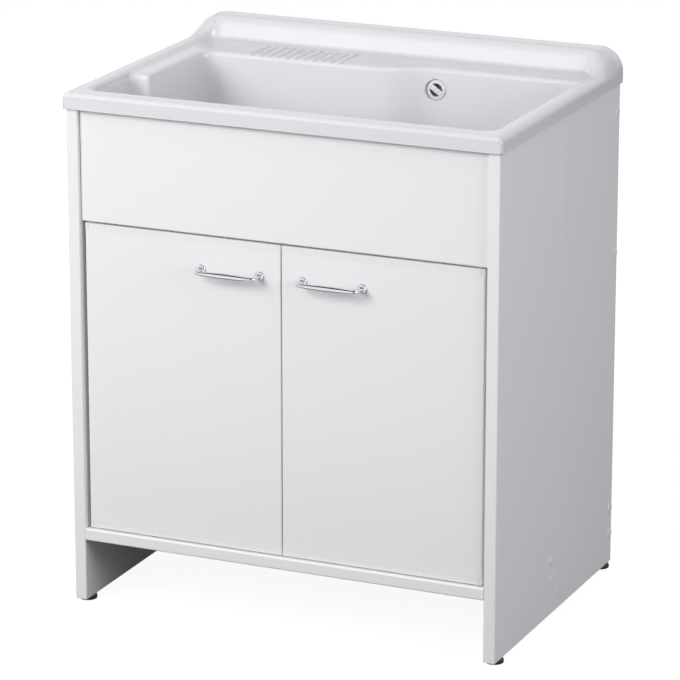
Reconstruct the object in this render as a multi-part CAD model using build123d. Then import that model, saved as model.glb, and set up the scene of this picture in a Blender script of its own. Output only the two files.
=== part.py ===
from build123d import *
import math
import os

# ---------------------------------------------------------------- driving dimensions (mm)
# Frame: X to the right, Y to the rear, Z up; the floor is Z = 0 and the origin lies under the
# middle of the whole cabinet, handles included.

# cabinet carcass, made of extruded hollow boards
CABINET_WIDTH = 740.0
CABINET_DEPTH = 530.0
BOARD_THICKNESS = 20.0
BOARD_SKIN = 1.6
BOARD_CORNER = 2.5
CELL_PITCH = 32.0
SEAM_BEVEL = 0.7
TONGUE_WIDTH = 5.0
TONGUE_DEPTH = 4.0
TONGUE_CLEARANCE = 0.3
EDGE_WEB = 7.0
RAIL_EDGE_WEB = 16.0
PLUG_DEPTH = 6.0
PLUG_CLEARANCE = 0.25
JOINT_STEP = 2.0

# heights above the floor
FOOT_HEIGHT = 6.0
SIDE_CAP_HEIGHT = 8.0
BOTTOM_BOARD_Z = 109.0
DOOR_BOTTOM_GAP = 2.0
DOOR_TOP_GAP = 2.5
FASCIA_HEIGHT = 207.5
RIM_HEIGHT = 859.0

# fronts
DOOR_RECESS = 8.0
FASCIA_RECESS = 7.0
FASCIA_SIDE_GAP = 0.8
DOOR_SIDE_GAP = 6.0
DOOR_MIDDLE_GAP = 1.5
DOOR_CAP_HEIGHT = 12.0
DOOR_CAP_OVERHANG = 0.3
DOOR_CAP_SLIT_INSET = 5.0
DOOR_CAP_SLIT = 0.8

# pivots of the doors
PIVOT_INSET = 10.0
PIVOT_PIN_R = 3.0
PIVOT_CLEARANCE = 0.05
PIVOT_PIN_ENGAGEMENT = 6.0
BUSH_R = 5.0
BUSH_FLANGE_R = 7.5
BUSH_TOP_GAP = 1.0
BUSH_BOTTOM_GAP = 0.3
BUSH_DEPTH = 9.0
BUSH_CLEARANCE = 0.1
PIVOT_PIN_SHORT = 1.5
PIVOT_PIN_BEVEL = 0.6

# handles
HANDLE_PITCH = 102.0
HANDLE_INNER_POST = 37.0
HANDLE_DROP = 54.0
HANDLE_REACH = 30.0
HANDLE_WIRE_R = 3.2
HANDLE_BAR_R = 4.4
HANDLE_BEND_R = 9.0
ROSETTE_R = 8.0
ROSETTE_T = 4.0
HANDLE_SCREW_R = 2.0
HANDLE_SCREW_HEAD_R = 4.0
HANDLE_SCREW_HEAD_T = 2.4
HANDLE_SCREW_GRIP = 10.0

# basin
BASIN_SIDE_OVERHANG = 5.0
BASIN_FRONT_OVERHANG = 6.0
SKIRT_HEIGHT = 28.0
RAISED_BACK_HEIGHT = 31.0
RAISE_RUN = 62.0
RAISED_LENGTH = 28.0
RAISE_SECTIONS = 7
RAISED_CORNER_R = 40.0
ROLL_R = 8.0
BASIN_CORNER_R = 8.0
BACK_EDGE_R = 4.0
BASIN_WALL = 4.0
DECK_DROP = 6.0
DECK_THICKNESS = 5.0
SIDE_RIM_WIDTH = 31.0
FRONT_RIM_WIDTH = 37.5
DECK_BACK_INSET = 52.0
BACK_FACE_LEAN = 14.0
RECESS_FRONT_R = 20.0
RECESS_BACK_R = 22.0
RECESS_FOOT_R = 5.0
WELL_DEPTH = 204.0
WELL_DRAFT = 3.0
WELL_CORNER_R = 30.0
WELL_FLOOR_R = 18.0
WELL_LEFT_SHELF = 32.0
SHELF_DEPTH = 92.0
BAY_SHELF_DEPTH = 59.0
BEND_X = 64.0
BEND_ANGLE = 45.0
BEND_R = 20.0
POCKET_BACK = 178.0
POCKET_DEPTH = 74.0
POCKET_SETBACK = 1.0
POCKET_CORNER_R = 18.0
POCKET_FLOOR_R = 12.0
POCKET_STEP_R = 6.0
GROOVE_COUNT = 11
GROOVE_PITCH = 16.0
GROOVE_MIDDLE_X = -145.0
GROOVE_MARGIN = 18.0
GROOVE_R = 4.0
GROOVE_DEPTH = 2.4

# overflow
OVERFLOW_X = 92.0
OVERFLOW_DROP = 43.0
OVERFLOW_HOLE_R = 13.0
OVERFLOW_SEAT_R = 19.0
OVERFLOW_RING_R = 17.0
OVERFLOW_RING_T = 3.0
OVERFLOW_RING_EDGE = 1.8
OVERFLOW_RING_LIP = 0.5
OVERFLOW_BAR_WIDTH = 9.0
OVERFLOW_BAR_ANGLE = -40.0
OVERFLOW_SCREW_R = 2.5
OVERFLOW_SCREW_HEAD_R = 4.2
OVERFLOW_SCREW_HEAD_T = 1.6
OVERFLOW_POST_WALL = 2.5
OVERFLOW_POST = 6.0
OVERFLOW_SCREW_TAIL = 5.0
OVERFLOW_BODY_R = 21.0
OVERFLOW_FLANGE_T = 4.0
OVERFLOW_BODY_DEPTH = 30.0
OVERFLOW_BODY_WALL = 3.0
OVERFLOW_SPIGOT = 16.0
OVERFLOW_PIPE_BEND = 24.0
OVERFLOW_PORT_DROP = 16.5
OVERFLOW_PIPE_R = 10.5
OVERFLOW_PIPE_BORE = 8.5
GASKET_T = 2.5

# waste
DRAIN_X = 92.0
DRAIN_BACK_SHARE = 0.4
DRAIN_HOLE_R = 24.0
DRAIN_FLANGE_R = 35.0
DRAIN_FLANGE_T = 2.0
DRAIN_SLOPE_R = 140.0
DRAIN_SLOPE = 4.0
DRAIN_SEAT_R = 50.0
DRAIN_CUP_DEPTH = 9.0
DRAIN_CUP_WALL = 1.6
DRAIN_SLOT_COUNT = 8
DRAIN_SLOT_WIDTH = 3.0
DRAIN_SLOT_START = 2.0
DRAIN_SLOT_MARGIN = 3.0
DRAIN_MOUTH_R = 1.4
DRAIN_FLANGE_BEVEL = 0.8
DRAIN_SLOPE_LAND = 3.0
DRAIN_BODY_R = 27.0
DRAIN_BODY_WALL = 3.0
DRAIN_BODY_DEPTH = 46.0
DRAIN_BODY_FLANGE_R = 33.0
DRAIN_BODY_FLANGE_T = 4.0
DRAIN_SPIGOT_R = 22.0
DRAIN_SPIGOT = 16.0
DRAIN_PORT_R = 14.0
DRAIN_PORT = 22.0
DRAIN_BRIDGE_DEPTH = 12.0
DRAIN_BRIDGE_T = 6.0
DRAIN_BRIDGE_WIDTH = 6.0
DRAIN_SCREW_R = 3.0
DRAIN_SCREW_HEAD_R = 6.0
DRAIN_SCREW_HEAD_T = 2.4
DRAIN_SCREW_TAIL = 1.0
TAILPIECE_R = 20.0
TAILPIECE_BORE = 17.5
TAILPIECE_LENGTH = 125.0
TRAP_R = 34.0
TRAP_WALL = 3.0
TRAP_BODY_HEIGHT = 76.0
TRAP_NECK_R = 24.5
TRAP_NECK = 12.0
TRAP_ROOF = 7.0
TRAP_SHOULDER_R = 6.0
TRAP_CUP_R_FOOT = 8.0
TRAP_CUP_GRIP = 22.0
TRAP_CUP_R = 38.5
TRAP_CUP_HEIGHT = 60.0
TRAP_CUP_LAP = 16.0
TRAP_DROP = 68.5
NUT_R = 29.0
NUT_HEIGHT = 18.0
NUT_RIBS = 12
NUT_RIB_R = 2.0
NUT_RIM = 2.5
OUTLET_DROP = 30.0
OUTLET_R = 20.0
OUTLET_BORE = 17.5
OUTLET_END_GAP = 2.0
OUTLET_BEAD = 54.0
OUTLET_BEAD_R = 22.0
OUTLET_BEAD_T = 4.0
PUSH_CLEARANCE = 0.1

# rear rails, brackets, screws, caps, feet
RAIL_HEIGHT = 60.0
TOP_RAIL_HEIGHT = 80.0
MIDDLE_RAIL_RISE = 33.0
WALL_HOLE_R = 4.0
WALL_HOLE_SPACING = 560.0
BRACKET_LEG = 32.0
BRACKET_T = 3.0
BRACKET_HEIGHT = 58.0
BRACKET_RISE = 9.5
BRACKET_GUSSETS = 3
BRACKET_GUSSET = 9.0
BRACKET_SCREW_INSET = 14.0
BRACKET_SCREW_EDGE = 8.0
CLEAT_WIDTH = 60.0
CLEAT_HEIGHT = 58.0
CLEAT_T = 6.0
CLEAT_LEG = 42.0
CLEAT_SEAM_INSET = 17.0
CLEAT_SCREW_EDGE = 14.0
RAIL_SCREW_INSET = 8.0
CLEAT_SCREW_DROPS = (11.0, 45.0)
SCREW_R = 2.0
SCREW_HEAD_R = 4.0
SCREW_HEAD_T = 2.2
SCREW_HEAD_BEVEL = 0.8
SCREW_CROSS = 4.4
SCREW_SLOT = 1.0
SCREW_LENGTH = 12.0
SCREW_CLEARANCE = 0.1
SCREW_WELL_R = 4.6
CAP_R = 8.0
CAP_T = 1.0
CAP_EDGE_BEVEL = 0.5
CAP_STEM_R = 4.4
CAP_STEM = 5.0
CAP_STEM_WALL = 1.2
FOOT_R = 15.0
FOOT_EDGE_R = 1.2
FOOT_STEM_R = 4.0
FOOT_STEM = 7.0
FOOT_INSET = 25.0

# door catches
CATCH_WIDTH = 46.0
CATCH_DEPTH = 14.0
CATCH_HEIGHT = 22.0
CATCH_PLATE_T = 3.0
CATCH_PLATE_HEIGHT = 26.0
CATCH_OFFSET = 44.0
CATCH_POLE = 4.0
CATCH_CASE_R = 2.0
CATCH_POLE_INSET = 3.0
CATCH_SCREW_INSET = 8.0
STRIKE_WIDTH = 34.0
STRIKE_HEIGHT = 11.0
STRIKE_T = 1.6
STRIKE_GAP = 0.3
STRIKE_STUD_R = 1.5
STRIKE_STUD = 5.0
STRIKE_CORNER_R = 1.5
STUD_ROOT = 1.0

SEAT_GAP = 0.3
OPEN_HEIGHT = 40.0
THROUGH = 2000.0

# ---------------------------------------------------------------- derived places
HANDLE_PROUD = HANDLE_REACH - DOOR_RECESS
TOTAL_DEPTH = HANDLE_PROUD + CABINET_DEPTH
FRONT_Y = HANDLE_PROUD - TOTAL_DEPTH / 2
BACK_Y = FRONT_Y + CABINET_DEPTH
HALF_WIDTH = CABINET_WIDTH / 2
INNER_HALF = HALF_WIDTH - BOARD_THICKNESS
SKIRT_Z = RIM_HEIGHT - SKIRT_HEIGHT
DECK_Z = RIM_HEIGHT - DECK_DROP
RAISED_Z = RIM_HEIGHT + RAISED_BACK_HEIGHT
OPEN_TOP = RAISED_Z + OPEN_HEIGHT
BOARD_TOP_Z = RIM_HEIGHT - BASIN_WALL
SIDE_BOARD_Z = FOOT_HEIGHT + SIDE_CAP_HEIGHT
BOTTOM_TOP_Z = BOTTOM_BOARD_Z + BOARD_THICKNESS
FASCIA_Z = BOARD_TOP_Z - FASCIA_HEIGHT
DOOR_Z = BOTTOM_TOP_Z + DOOR_BOTTOM_GAP
DOOR_TOP_Z = FASCIA_Z - DOOR_TOP_GAP
HANDLE_Z = DOOR_TOP_Z - HANDLE_DROP
BRACKET_Z = FASCIA_Z + BRACKET_RISE
DOOR_WIDTH = INNER_HALF - DOOR_SIDE_GAP - DOOR_MIDDLE_GAP / 2
DOOR_MIDDLE_X = INNER_HALF - DOOR_SIDE_GAP - DOOR_WIDTH / 2
DOOR_FRONT_Y = FRONT_Y + DOOR_RECESS
DOOR_MIDDLE_Y = DOOR_FRONT_Y + BOARD_THICKNESS / 2
DOOR_BACK_Y = DOOR_FRONT_Y + BOARD_THICKNESS
PIVOT_X = INNER_HALF - DOOR_SIDE_GAP - PIVOT_INSET
BASIN_WIDTH = CABINET_WIDTH + 2 * BASIN_SIDE_OVERHANG
BASIN_FRONT_Y = FRONT_Y - BASIN_FRONT_OVERHANG
RAISE_END = CABINET_DEPTH - RAISED_LENGTH
RAISE_START = RAISE_END - RAISE_RUN
DECK_BACK = CABINET_DEPTH - DECK_BACK_INSET
GROOVE_BACK = DECK_BACK - GROOVE_MARGIN
WELL_BACK_LEFT = DECK_BACK - SHELF_DEPTH
WELL_BACK_RIGHT = DECK_BACK - BAY_SHELF_DEPTH
RECESS_HALF = BASIN_WIDTH / 2 - SIDE_RIM_WIDTH
WELL_LEFT = WELL_LEFT_SHELF - RECESS_HALF
RECESS_FRONT_Y = BASIN_FRONT_Y + FRONT_RIM_WIDTH
LEAN_RATIO = BACK_FACE_LEAN / (RAISED_Z - DECK_Z)
OVERFLOW_Z = RIM_HEIGHT - OVERFLOW_DROP
WELL_FLOOR_Z = RIM_HEIGHT - WELL_DEPTH
WALL_SHIFT = math.tan(math.radians(WELL_DRAFT)) * OVERFLOW_DROP
OVERFLOW_WALL_Y = FRONT_Y + WELL_BACK_RIGHT - WALL_SHIFT
DRAIN_Y = FRONT_Y + DRAIN_BACK_SHARE * CABINET_DEPTH
OVERFLOW_SEAT_DEPTH = math.tan(math.radians(WELL_DRAFT)) * OVERFLOW_SEAT_R + SEAT_GAP
OVERFLOW_SEAT_Y = OVERFLOW_WALL_Y + OVERFLOW_SEAT_DEPTH
OVERFLOW_BACK_Y = OVERFLOW_WALL_Y + 2 * BASIN_WALL
OVERFLOW_FLANGE_Y = OVERFLOW_BACK_Y + GASKET_T
OVERFLOW_PIPE_Y = OVERFLOW_FLANGE_Y + OVERFLOW_BODY_DEPTH - OVERFLOW_PIPE_R - OVERFLOW_BODY_WALL
DRAIN_SEAT_Z = WELL_FLOOR_Z - DRAIN_SLOPE - DRAIN_FLANGE_T
DRAIN_UNDER_Z = DRAIN_SEAT_Z - BASIN_WALL
DRAIN_BODY_Z = DRAIN_UNDER_Z - GASKET_T
OVERFLOW_PIPE_Z = DRAIN_BODY_Z - OVERFLOW_PORT_DROP
DRAIN_BODY_END_Z = DRAIN_BODY_Z - DRAIN_BODY_DEPTH
SPIGOT_END_Z = DRAIN_BODY_END_Z - DRAIN_SPIGOT
TRAP_TOP_Z = SPIGOT_END_Z - TRAP_DROP
TAILPIECE_TOP_Z = DRAIN_BODY_END_Z - SEAT_GAP
TRAP_BODY_END_Z = TRAP_TOP_Z - TRAP_BODY_HEIGHT
OUTLET_Z = TRAP_TOP_Z - OUTLET_DROP
MIDDLE_RAIL_Z = OUTLET_Z + MIDDLE_RAIL_RISE
OUTLET_START_Y = DRAIN_Y + TRAP_R
OUTLET_END_Y = BACK_Y - OUTLET_END_GAP
BOARD_DEPTH = CABINET_DEPTH / 2
CLEAT_BACK = BOARD_DEPTH - CLEAT_SEAM_INSET


def at(x, y, z):
    return Pos(x, y, z)


def box(x0, x1, y0, y1, z0, z1):
    centre = Pos((x0 + x1) / 2, (y0 + y1) / 2, (z0 + z1) / 2)
    return centre * Box(x1 - x0, y1 - y0, z1 - z0)


def rod(radius, bottom_z, top_z):
    return Pos(0, 0, (bottom_z + top_z) / 2) * Cylinder(radius, top_z - bottom_z)


def tube(outer_r, inner_r, bottom_z, top_z):
    return rod(outer_r, bottom_z, top_z) - rod(inner_r, bottom_z - 1, top_z + 1)


def together(shapes):
    return Compound(children=list(shapes))


def mirrored(shape, side):
    """Side +1 keeps a right-hand piece as it is; side -1 gives its left-hand twin."""
    return shape if side > 0 else mirror(shape, about=Plane.YZ)


def save(shape, name):
    export_step(shape, f"parts/{name}.step")


def top_reach(edge):
    return edge.bounding_box().max.Z


def bottom_reach(edge):
    return edge.bounding_box().min.Z


# ---------------------------------------------------------------- basin
def rim_section(y, top_z, corner_r):
    """Outline across the basin: a straight skirt under two rounded top corners."""
    half = BASIN_WIDTH / 2
    outline = FilletPolyline(
        (-half, SKIRT_Z),
        (half, SKIRT_Z),
        (half, top_z),
        (-half, top_z),
        radius=[0.0, 0.0, corner_r, corner_r],
        close=True,
    )
    return Plane(origin=(0, y, 0), x_dir=(1, 0, 0), z_dir=(0, -1, 0)) * make_face(outline)


def basin_block():
    """Rim and raised back as one block; the ends rise to the back in a long S."""
    sections = []
    for step in range(RAISE_SECTIONS):
        share = step / (RAISE_SECTIONS - 1)
        ease = share * share * (3 - 2 * share)
        y = FRONT_Y + RAISE_START + share * (RAISE_END - RAISE_START)
        top_z = RIM_HEIGHT + ease * RAISED_BACK_HEIGHT
        corner_r = ROLL_R + ease * (RAISED_CORNER_R - ROLL_R)
        sections.append(rim_section(y, top_z, corner_r))
    rise = loft(sections)
    back = extrude(sections[-1], CABINET_DEPTH - RAISE_END, dir=(0, 1, 0))
    front_length = RAISE_START + BASIN_FRONT_OVERHANG
    plan = Rectangle(BASIN_WIDTH, front_length)
    front = extrude(at(0, BASIN_FRONT_Y + front_length / 2, SKIRT_Z) * plan, SKIRT_HEIGHT)
    corners = [e for e in front.edges().filter_by(Axis.Z) if e.center().Y < BASIN_FRONT_Y + 1]
    front = fillet(corners, BASIN_CORNER_R)
    seam_y = FRONT_Y + RAISE_START
    rolls = [e for e in front.edges() if bottom_reach(e) > RIM_HEIGHT - 0.1 and e.center().Y < seam_y - 1]
    front = fillet(rolls, ROLL_R)
    block = front + rise + back
    ends = [e for e in block.edges() if abs(e.center().Y - BACK_Y) < 0.1 and top_reach(e) > SKIRT_Z + 1]
    return fillet(ends, BACK_EDGE_R)


def recess_tool(grow, foot_z, top_z):
    """Space above the deck: straight sides, and a rear face that leans back."""
    foot_y = FRONT_Y + DECK_BACK + grow + (foot_z - DECK_Z) * LEAN_RATIO
    near_y = RECESS_FRONT_Y - grow
    profile = Polyline(
        (near_y, foot_z),
        (foot_y, foot_z),
        (foot_y + (top_z - foot_z) * LEAN_RATIO, top_z),
        (near_y, top_z),
        close=True,
    )
    tool = extrude(Plane.YZ * make_face(profile), RECESS_HALF + grow, both=True)
    tall = [e for e in tool.edges() if top_reach(e) - bottom_reach(e) > top_z - foot_z - 1]
    tool = fillet([e for e in tall if e.center().Y < 0], RECESS_FRONT_R + grow)
    tall = [e for e in tool.edges() if top_reach(e) - bottom_reach(e) > top_z - foot_z - 1]
    return fillet([e for e in tall if e.center().Y > foot_y - 1], RECESS_BACK_R + grow)


def drafted_box(plan, depth, floor_r):
    """A hollow drawn down from the rim with draft and a rounded floor."""
    box = extrude(at(0, 0, RIM_HEIGHT) * plan, -depth, taper=WELL_DRAFT)
    floor = [e for e in box.edges() if top_reach(e) < RIM_HEIGHT - depth + 0.1]
    return fillet(floor, floor_r)


def well_tool(grow):
    """The well: a wide left part, a deeper right part behind a slanting bend, a front pocket."""
    left, right = WELL_LEFT - grow, RECESS_HALF + grow
    near = RECESS_FRONT_Y - grow
    far_left = FRONT_Y + WELL_BACK_LEFT + grow
    far_right = FRONT_Y + WELL_BACK_RIGHT + grow
    bend_right = BEND_X - grow * math.tan(math.radians(BEND_ANGLE / 2))
    bend_left = bend_right - (far_right - far_left) / math.tan(math.radians(BEND_ANGLE))
    corner_r = WELL_CORNER_R + grow
    outline = FilletPolyline(
        (left, near),
        (right, near),
        (right, far_right),
        (bend_right, far_right),
        (bend_left, far_left),
        (left, far_left),
        radius=[corner_r, corner_r, corner_r, corner_r, BEND_R - grow, corner_r],
        close=True,
    )
    well = drafted_box(make_face(outline), WELL_DEPTH + grow, WELL_FLOOR_R + grow)

    pocket_left = -RECESS_HALF - grow
    pocket_right = WELL_LEFT + 3 * WELL_CORNER_R
    pocket_back = FRONT_Y + POCKET_BACK + grow
    pocket_near = near + POCKET_SETBACK
    plan = Pos((pocket_left + pocket_right) / 2, (pocket_near + pocket_back) / 2) * RectangleRounded(
        pocket_right - pocket_left, pocket_back - pocket_near, POCKET_CORNER_R + grow
    )
    tool = well + drafted_box(plan, POCKET_DEPTH + grow, POCKET_FLOOR_R + grow)
    step = [
        e
        for e in tool.edges()
        if top_reach(e) > RIM_HEIGHT - 1
        and top_reach(e) - bottom_reach(e) > POCKET_DEPTH / 2
        and abs(e.center().Y - pocket_back) < 6
        and abs(e.center().X - left) < 6
    ]
    return fillet(step, POCKET_STEP_R - grow)


def groove_tools():
    """Round-bottomed drainage grooves in the soap shelf, open towards the well."""
    tools = []
    axis_z = DECK_Z + GROOVE_R - GROOVE_DEPTH
    start_y = FRONT_Y + WELL_BACK_LEFT - WELL_CORNER_R / 2
    end_y = FRONT_Y + GROOVE_BACK
    for index in range(GROOVE_COUNT):
        x = GROOVE_MIDDLE_X + (index - (GROOVE_COUNT - 1) / 2) * GROOVE_PITCH
        groove = at(x, (start_y + end_y) / 2, axis_z) * Rot(90, 0, 0) * Cylinder(GROOVE_R, end_y - start_y)
        tools.append(groove + at(x, end_y, axis_z) * Sphere(GROOVE_R))
    return tools


def basin():
    """The moulded basin: hollow rim and raised back, deck, well, and seats for both outlets."""
    shell = basin_block()
    inner_half = BASIN_WIDTH / 2 - BASIN_WALL
    open_back = BACK_Y + BACK_EDGE_R
    cavity_front = BASIN_FRONT_Y + BASIN_WALL
    plan = at(0, (cavity_front + open_back) / 2, 0) * Rectangle(2 * inner_half, open_back - cavity_front)
    under = extrude(at(0, 0, SKIRT_Z) * plan, BOARD_TOP_Z - SKIRT_Z)
    kept_deck = recess_tool(BASIN_WALL, DECK_Z - DECK_THICKNESS, OPEN_TOP)
    under = under - kept_deck
    shell = shell - under
    inner_back = BACK_Y - BASIN_WALL
    low_z, high_z = DECK_Z - DECK_THICKNESS, RAISED_Z - BASIN_WALL
    low_y = FRONT_Y + DECK_BACK + BASIN_WALL + (low_z - DECK_Z) * LEAN_RATIO
    profile = Polyline(
        (low_y, low_z),
        (inner_back, low_z),
        (inner_back, high_z),
        (low_y + (high_z - low_z) * LEAN_RATIO, high_z),
        close=True,
    )
    hollow = extrude(Plane.YZ * make_face(profile), RECESS_HALF - RECESS_BACK_R / 2, both=True)
    shell = shell - hollow

    recess = recess_tool(0, DECK_Z, OPEN_TOP)
    foot = [e for e in recess.edges() if top_reach(e) < DECK_Z + 0.1]
    recess = fillet(foot, RECESS_FOOT_R)
    outer = well_tool(BASIN_WALL) & at(0, 0, DECK_Z - THROUGH / 2) * Box(THROUGH, THROUGH, THROUGH)
    inner = well_tool(0)

    seat = at(OVERFLOW_X, OVERFLOW_WALL_Y + BASIN_WALL, OVERFLOW_Z) * Rot(90, 0, 0)
    boss = seat * Cylinder(OVERFLOW_SEAT_R + BASIN_WALL, 2 * BASIN_WALL)
    drain = at(DRAIN_X, DRAIN_Y, WELL_FLOOR_Z)
    pad_depth = DRAIN_SLOPE + DRAIN_FLANGE_T
    pad = drain * at(0, 0, -BASIN_WALL - pad_depth / 2) * Cone(DRAIN_SEAT_R, DRAIN_SLOPE_R, pad_depth)
    body = shell + outer + boss + pad - recess - inner

    face = at(OVERFLOW_X, OVERFLOW_SEAT_Y - BASIN_WALL, OVERFLOW_Z) * Rot(90, 0, 0)
    body = body - face * Cylinder(OVERFLOW_SEAT_R, 2 * BASIN_WALL)
    body = body - seat * Cylinder(OVERFLOW_HOLE_R, THROUGH / 20)
    land_r = DRAIN_FLANGE_R + DRAIN_SLOPE_LAND
    body = body - drain * at(0, 0, -DRAIN_SLOPE / 2) * Cone(land_r, DRAIN_SLOPE_R, DRAIN_SLOPE)
    floor_seat = drain * at(0, 0, -DRAIN_SLOPE - DRAIN_FLANGE_T / 2)
    body = body - floor_seat * Cylinder(DRAIN_FLANGE_R + SEAT_GAP, DRAIN_FLANGE_T)
    body = body - drain * Cylinder(DRAIN_HOLE_R, THROUGH / 20)
    for groove in groove_tools():
        body = body - groove
    return body


# ---------------------------------------------------------------- hollow boards
def cell_places(width, edge_web):
    """Middles and width of the cells in a board of the given width, counted from its first edge."""
    count = max(1, round((width - 2 * edge_web + BOARD_SKIN) / CELL_PITCH))
    cell = (width - 2 * edge_web - (count - 1) * BOARD_SKIN) / count
    first = edge_web + cell / 2
    return [first + index * (cell + BOARD_SKIN) for index in range(count)], cell


def board_section(width, edge_web=EDGE_WEB, tongue=False, groove=False):
    """Section across a board: it runs from 0 to width, and half its thickness lies each side."""
    half = BOARD_THICKNESS / 2
    outline = Pos(width / 2, 0) * RectangleRounded(width, BOARD_THICKNESS, BOARD_CORNER)
    if tongue:
        outline += seam_edge(0, 1)
        outline += Pos(-TONGUE_DEPTH / 2, 0) * Rectangle(TONGUE_DEPTH, TONGUE_WIDTH)
    if groove:
        outline += seam_edge(width, -1)
        slot = TONGUE_DEPTH + TONGUE_CLEARANCE
        outline -= Pos(width - slot / 2, 0) * Rectangle(slot, TONGUE_WIDTH + 2 * TONGUE_CLEARANCE)
    places, cell = cell_places(width, edge_web)
    for middle in places:
        outline -= Pos(middle, 0) * Rectangle(cell, 2 * (half - BOARD_SKIN))
    return outline


def seam_edge(place, inward):
    """Nearly square corners where two boards meet, so that the joint shows as a fine line."""
    half = BOARD_THICKNESS / 2
    inner = place + inward * 2 * BOARD_CORNER
    seam = place + inward * SEAM_BEVEL
    outline = Polyline(
        (inner, half),
        (seam, half),
        (place, half - SEAM_BEVEL),
        (place, SEAM_BEVEL - half),
        (seam, -half),
        (inner, -half),
        close=True,
    )
    return make_face(outline)


def plugs(width, edge_web, from_z, to_z):
    """Blocks that fill the cells of a board's end, one in each cell."""
    places, cell = cell_places(width, edge_web)
    across = BOARD_THICKNESS - 2 * BOARD_SKIN - 2 * PLUG_CLEARANCE
    blocks = []
    for middle in places:
        half = cell / 2 - PLUG_CLEARANCE
        blocks.append(box(middle - half, middle + half, -across / 2, across / 2, from_z, to_z))
    return blocks


def screw(length):
    """Screw with its head's seat at the origin, head up and shank down."""
    head = rod(SCREW_HEAD_R, 0, SCREW_HEAD_T)
    head = chamfer(head.edges().group_by(Axis.Z)[-1], SCREW_HEAD_BEVEL)
    slot = at(0, 0, SCREW_HEAD_T) * Box(SCREW_CROSS, SCREW_SLOT, SCREW_HEAD_T)
    return head - slot - Rot(0, 0, 90) * slot + rod(SCREW_R, -length, 0)


SIDE_FACE = Plane(origin=(INNER_HALF + BOARD_THICKNESS / 2, 0, 0), x_dir=(0, 1, 0), z_dir=(0, 0, 1))
SIDE_SCREW_PLACES = [(CLEAT_BACK, BOTTOM_BOARD_Z - drop) for drop in CLEAT_SCREW_DROPS]
RAIL_MIDDLE = CABINET_DEPTH - BOARD_THICKNESS / 2
LOW_RAIL_Z = BOTTOM_BOARD_Z - RAIL_HEIGHT
TOP_RAIL_Z = BOARD_TOP_Z - TOP_RAIL_HEIGHT
SIDE_SCREW_PLACES += [(RAIL_MIDDLE, LOW_RAIL_Z + RAIL_SCREW_INSET)]
SIDE_SCREW_PLACES += [(RAIL_MIDDLE, LOW_RAIL_Z + RAIL_HEIGHT - RAIL_SCREW_INSET)]
SIDE_SCREW_PLACES += [(RAIL_MIDDLE, MIDDLE_RAIL_Z + RAIL_HEIGHT / 2)]
SIDE_SCREW_PLACES += [(RAIL_MIDDLE, TOP_RAIL_Z + RAIL_SCREW_INSET)]


def side_screw_spot(back, z):
    """Frame at the inner skin of the right-hand side: up is to the right, away from the cabinet."""
    return at(INNER_HALF + BOARD_SKIN, FRONT_Y + back, z) * Rot(0, 90, 0)


def side_board(start, tongue, groove):
    """Upright side board of the right side, with the screw wells that fall in it."""
    section = SIDE_FACE * Pos(FRONT_Y + start, 0) * board_section(BOARD_DEPTH, EDGE_WEB, tongue, groove)
    board = extrude(section, BOARD_TOP_Z - SIDE_BOARD_Z, dir=(0, 0, 1))
    board = at(0, 0, SIDE_BOARD_Z) * board
    for back, z in SIDE_SCREW_PLACES:
        if start < back < start + BOARD_DEPTH:
            spot = side_screw_spot(back, z)
            board -= spot * rod(SCREW_WELL_R, 0, BOARD_THICKNESS)
            board -= spot * rod(SCREW_R + SCREW_CLEARANCE, -BOARD_THICKNESS / 2, 1)
    if start == 0:
        for spot in bracket_side_spots():
            board -= spot * rod(SCREW_R + SCREW_CLEARANCE, -SCREW_LENGTH, 1)
    return board


def side_cap():
    """Strip that closes the lower ends of both right-hand side boards."""
    plan = RectangleRounded(BOARD_THICKNESS, CABINET_DEPTH, BOARD_CORNER)
    middle = at(INNER_HALF + BOARD_THICKNESS / 2, FRONT_Y + BOARD_DEPTH, FOOT_HEIGHT)
    strip = middle * extrude(plan, SIDE_CAP_HEIGHT)
    for start in (0, BOARD_DEPTH):
        for block in plugs(BOARD_DEPTH, EDGE_WEB, SIDE_BOARD_Z - JOINT_STEP, SIDE_BOARD_Z + PLUG_DEPTH):
            turned = Rot(0, 0, 90) * block
            strip += at(INNER_HALF + BOARD_THICKNESS / 2, FRONT_Y + start, 0) * turned
    for back in (FOOT_INSET, CABINET_DEPTH - FOOT_INSET):
        foot = at(INNER_HALF + BOARD_THICKNESS / 2, FRONT_Y + back, 0)
        strip -= foot * rod(FOOT_STEM_R + PUSH_CLEARANCE, 0, FOOT_HEIGHT + FOOT_STEM)
    return strip


def foot(back):
    """Round glide with a stem pushed into the side strip."""
    pad = rod(FOOT_R, 0, FOOT_HEIGHT)
    pad = fillet(pad.edges().group_by(Axis.Z)[-1], FOOT_EDGE_R)
    pad = chamfer(pad.edges().group_by(Axis.Z)[0], FOOT_EDGE_R / 2)
    pad += rod(FOOT_STEM_R, FOOT_HEIGHT, FOOT_HEIGHT + FOOT_STEM - PUSH_CLEARANCE)
    return at(INNER_HALF + BOARD_THICKNESS / 2, FRONT_Y + back, 0) * pad


def side_screws():
    return [side_screw_spot(back, z) * screw(SCREW_LENGTH) for back, z in SIDE_SCREW_PLACES]


def screw_cap(back, z):
    """Bevelled cover pressed into the screw well on the outer face."""
    disc = rod(CAP_R, 0, CAP_T)
    disc = chamfer(disc.edges().group_by(Axis.Z)[-1], CAP_EDGE_BEVEL)
    stem = tube(CAP_STEM_R, CAP_STEM_R - CAP_STEM_WALL, -CAP_STEM, CAP_T / 2)
    return at(HALF_WIDTH, FRONT_Y + back, z) * Rot(0, 90, 0) * (disc + stem)


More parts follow.
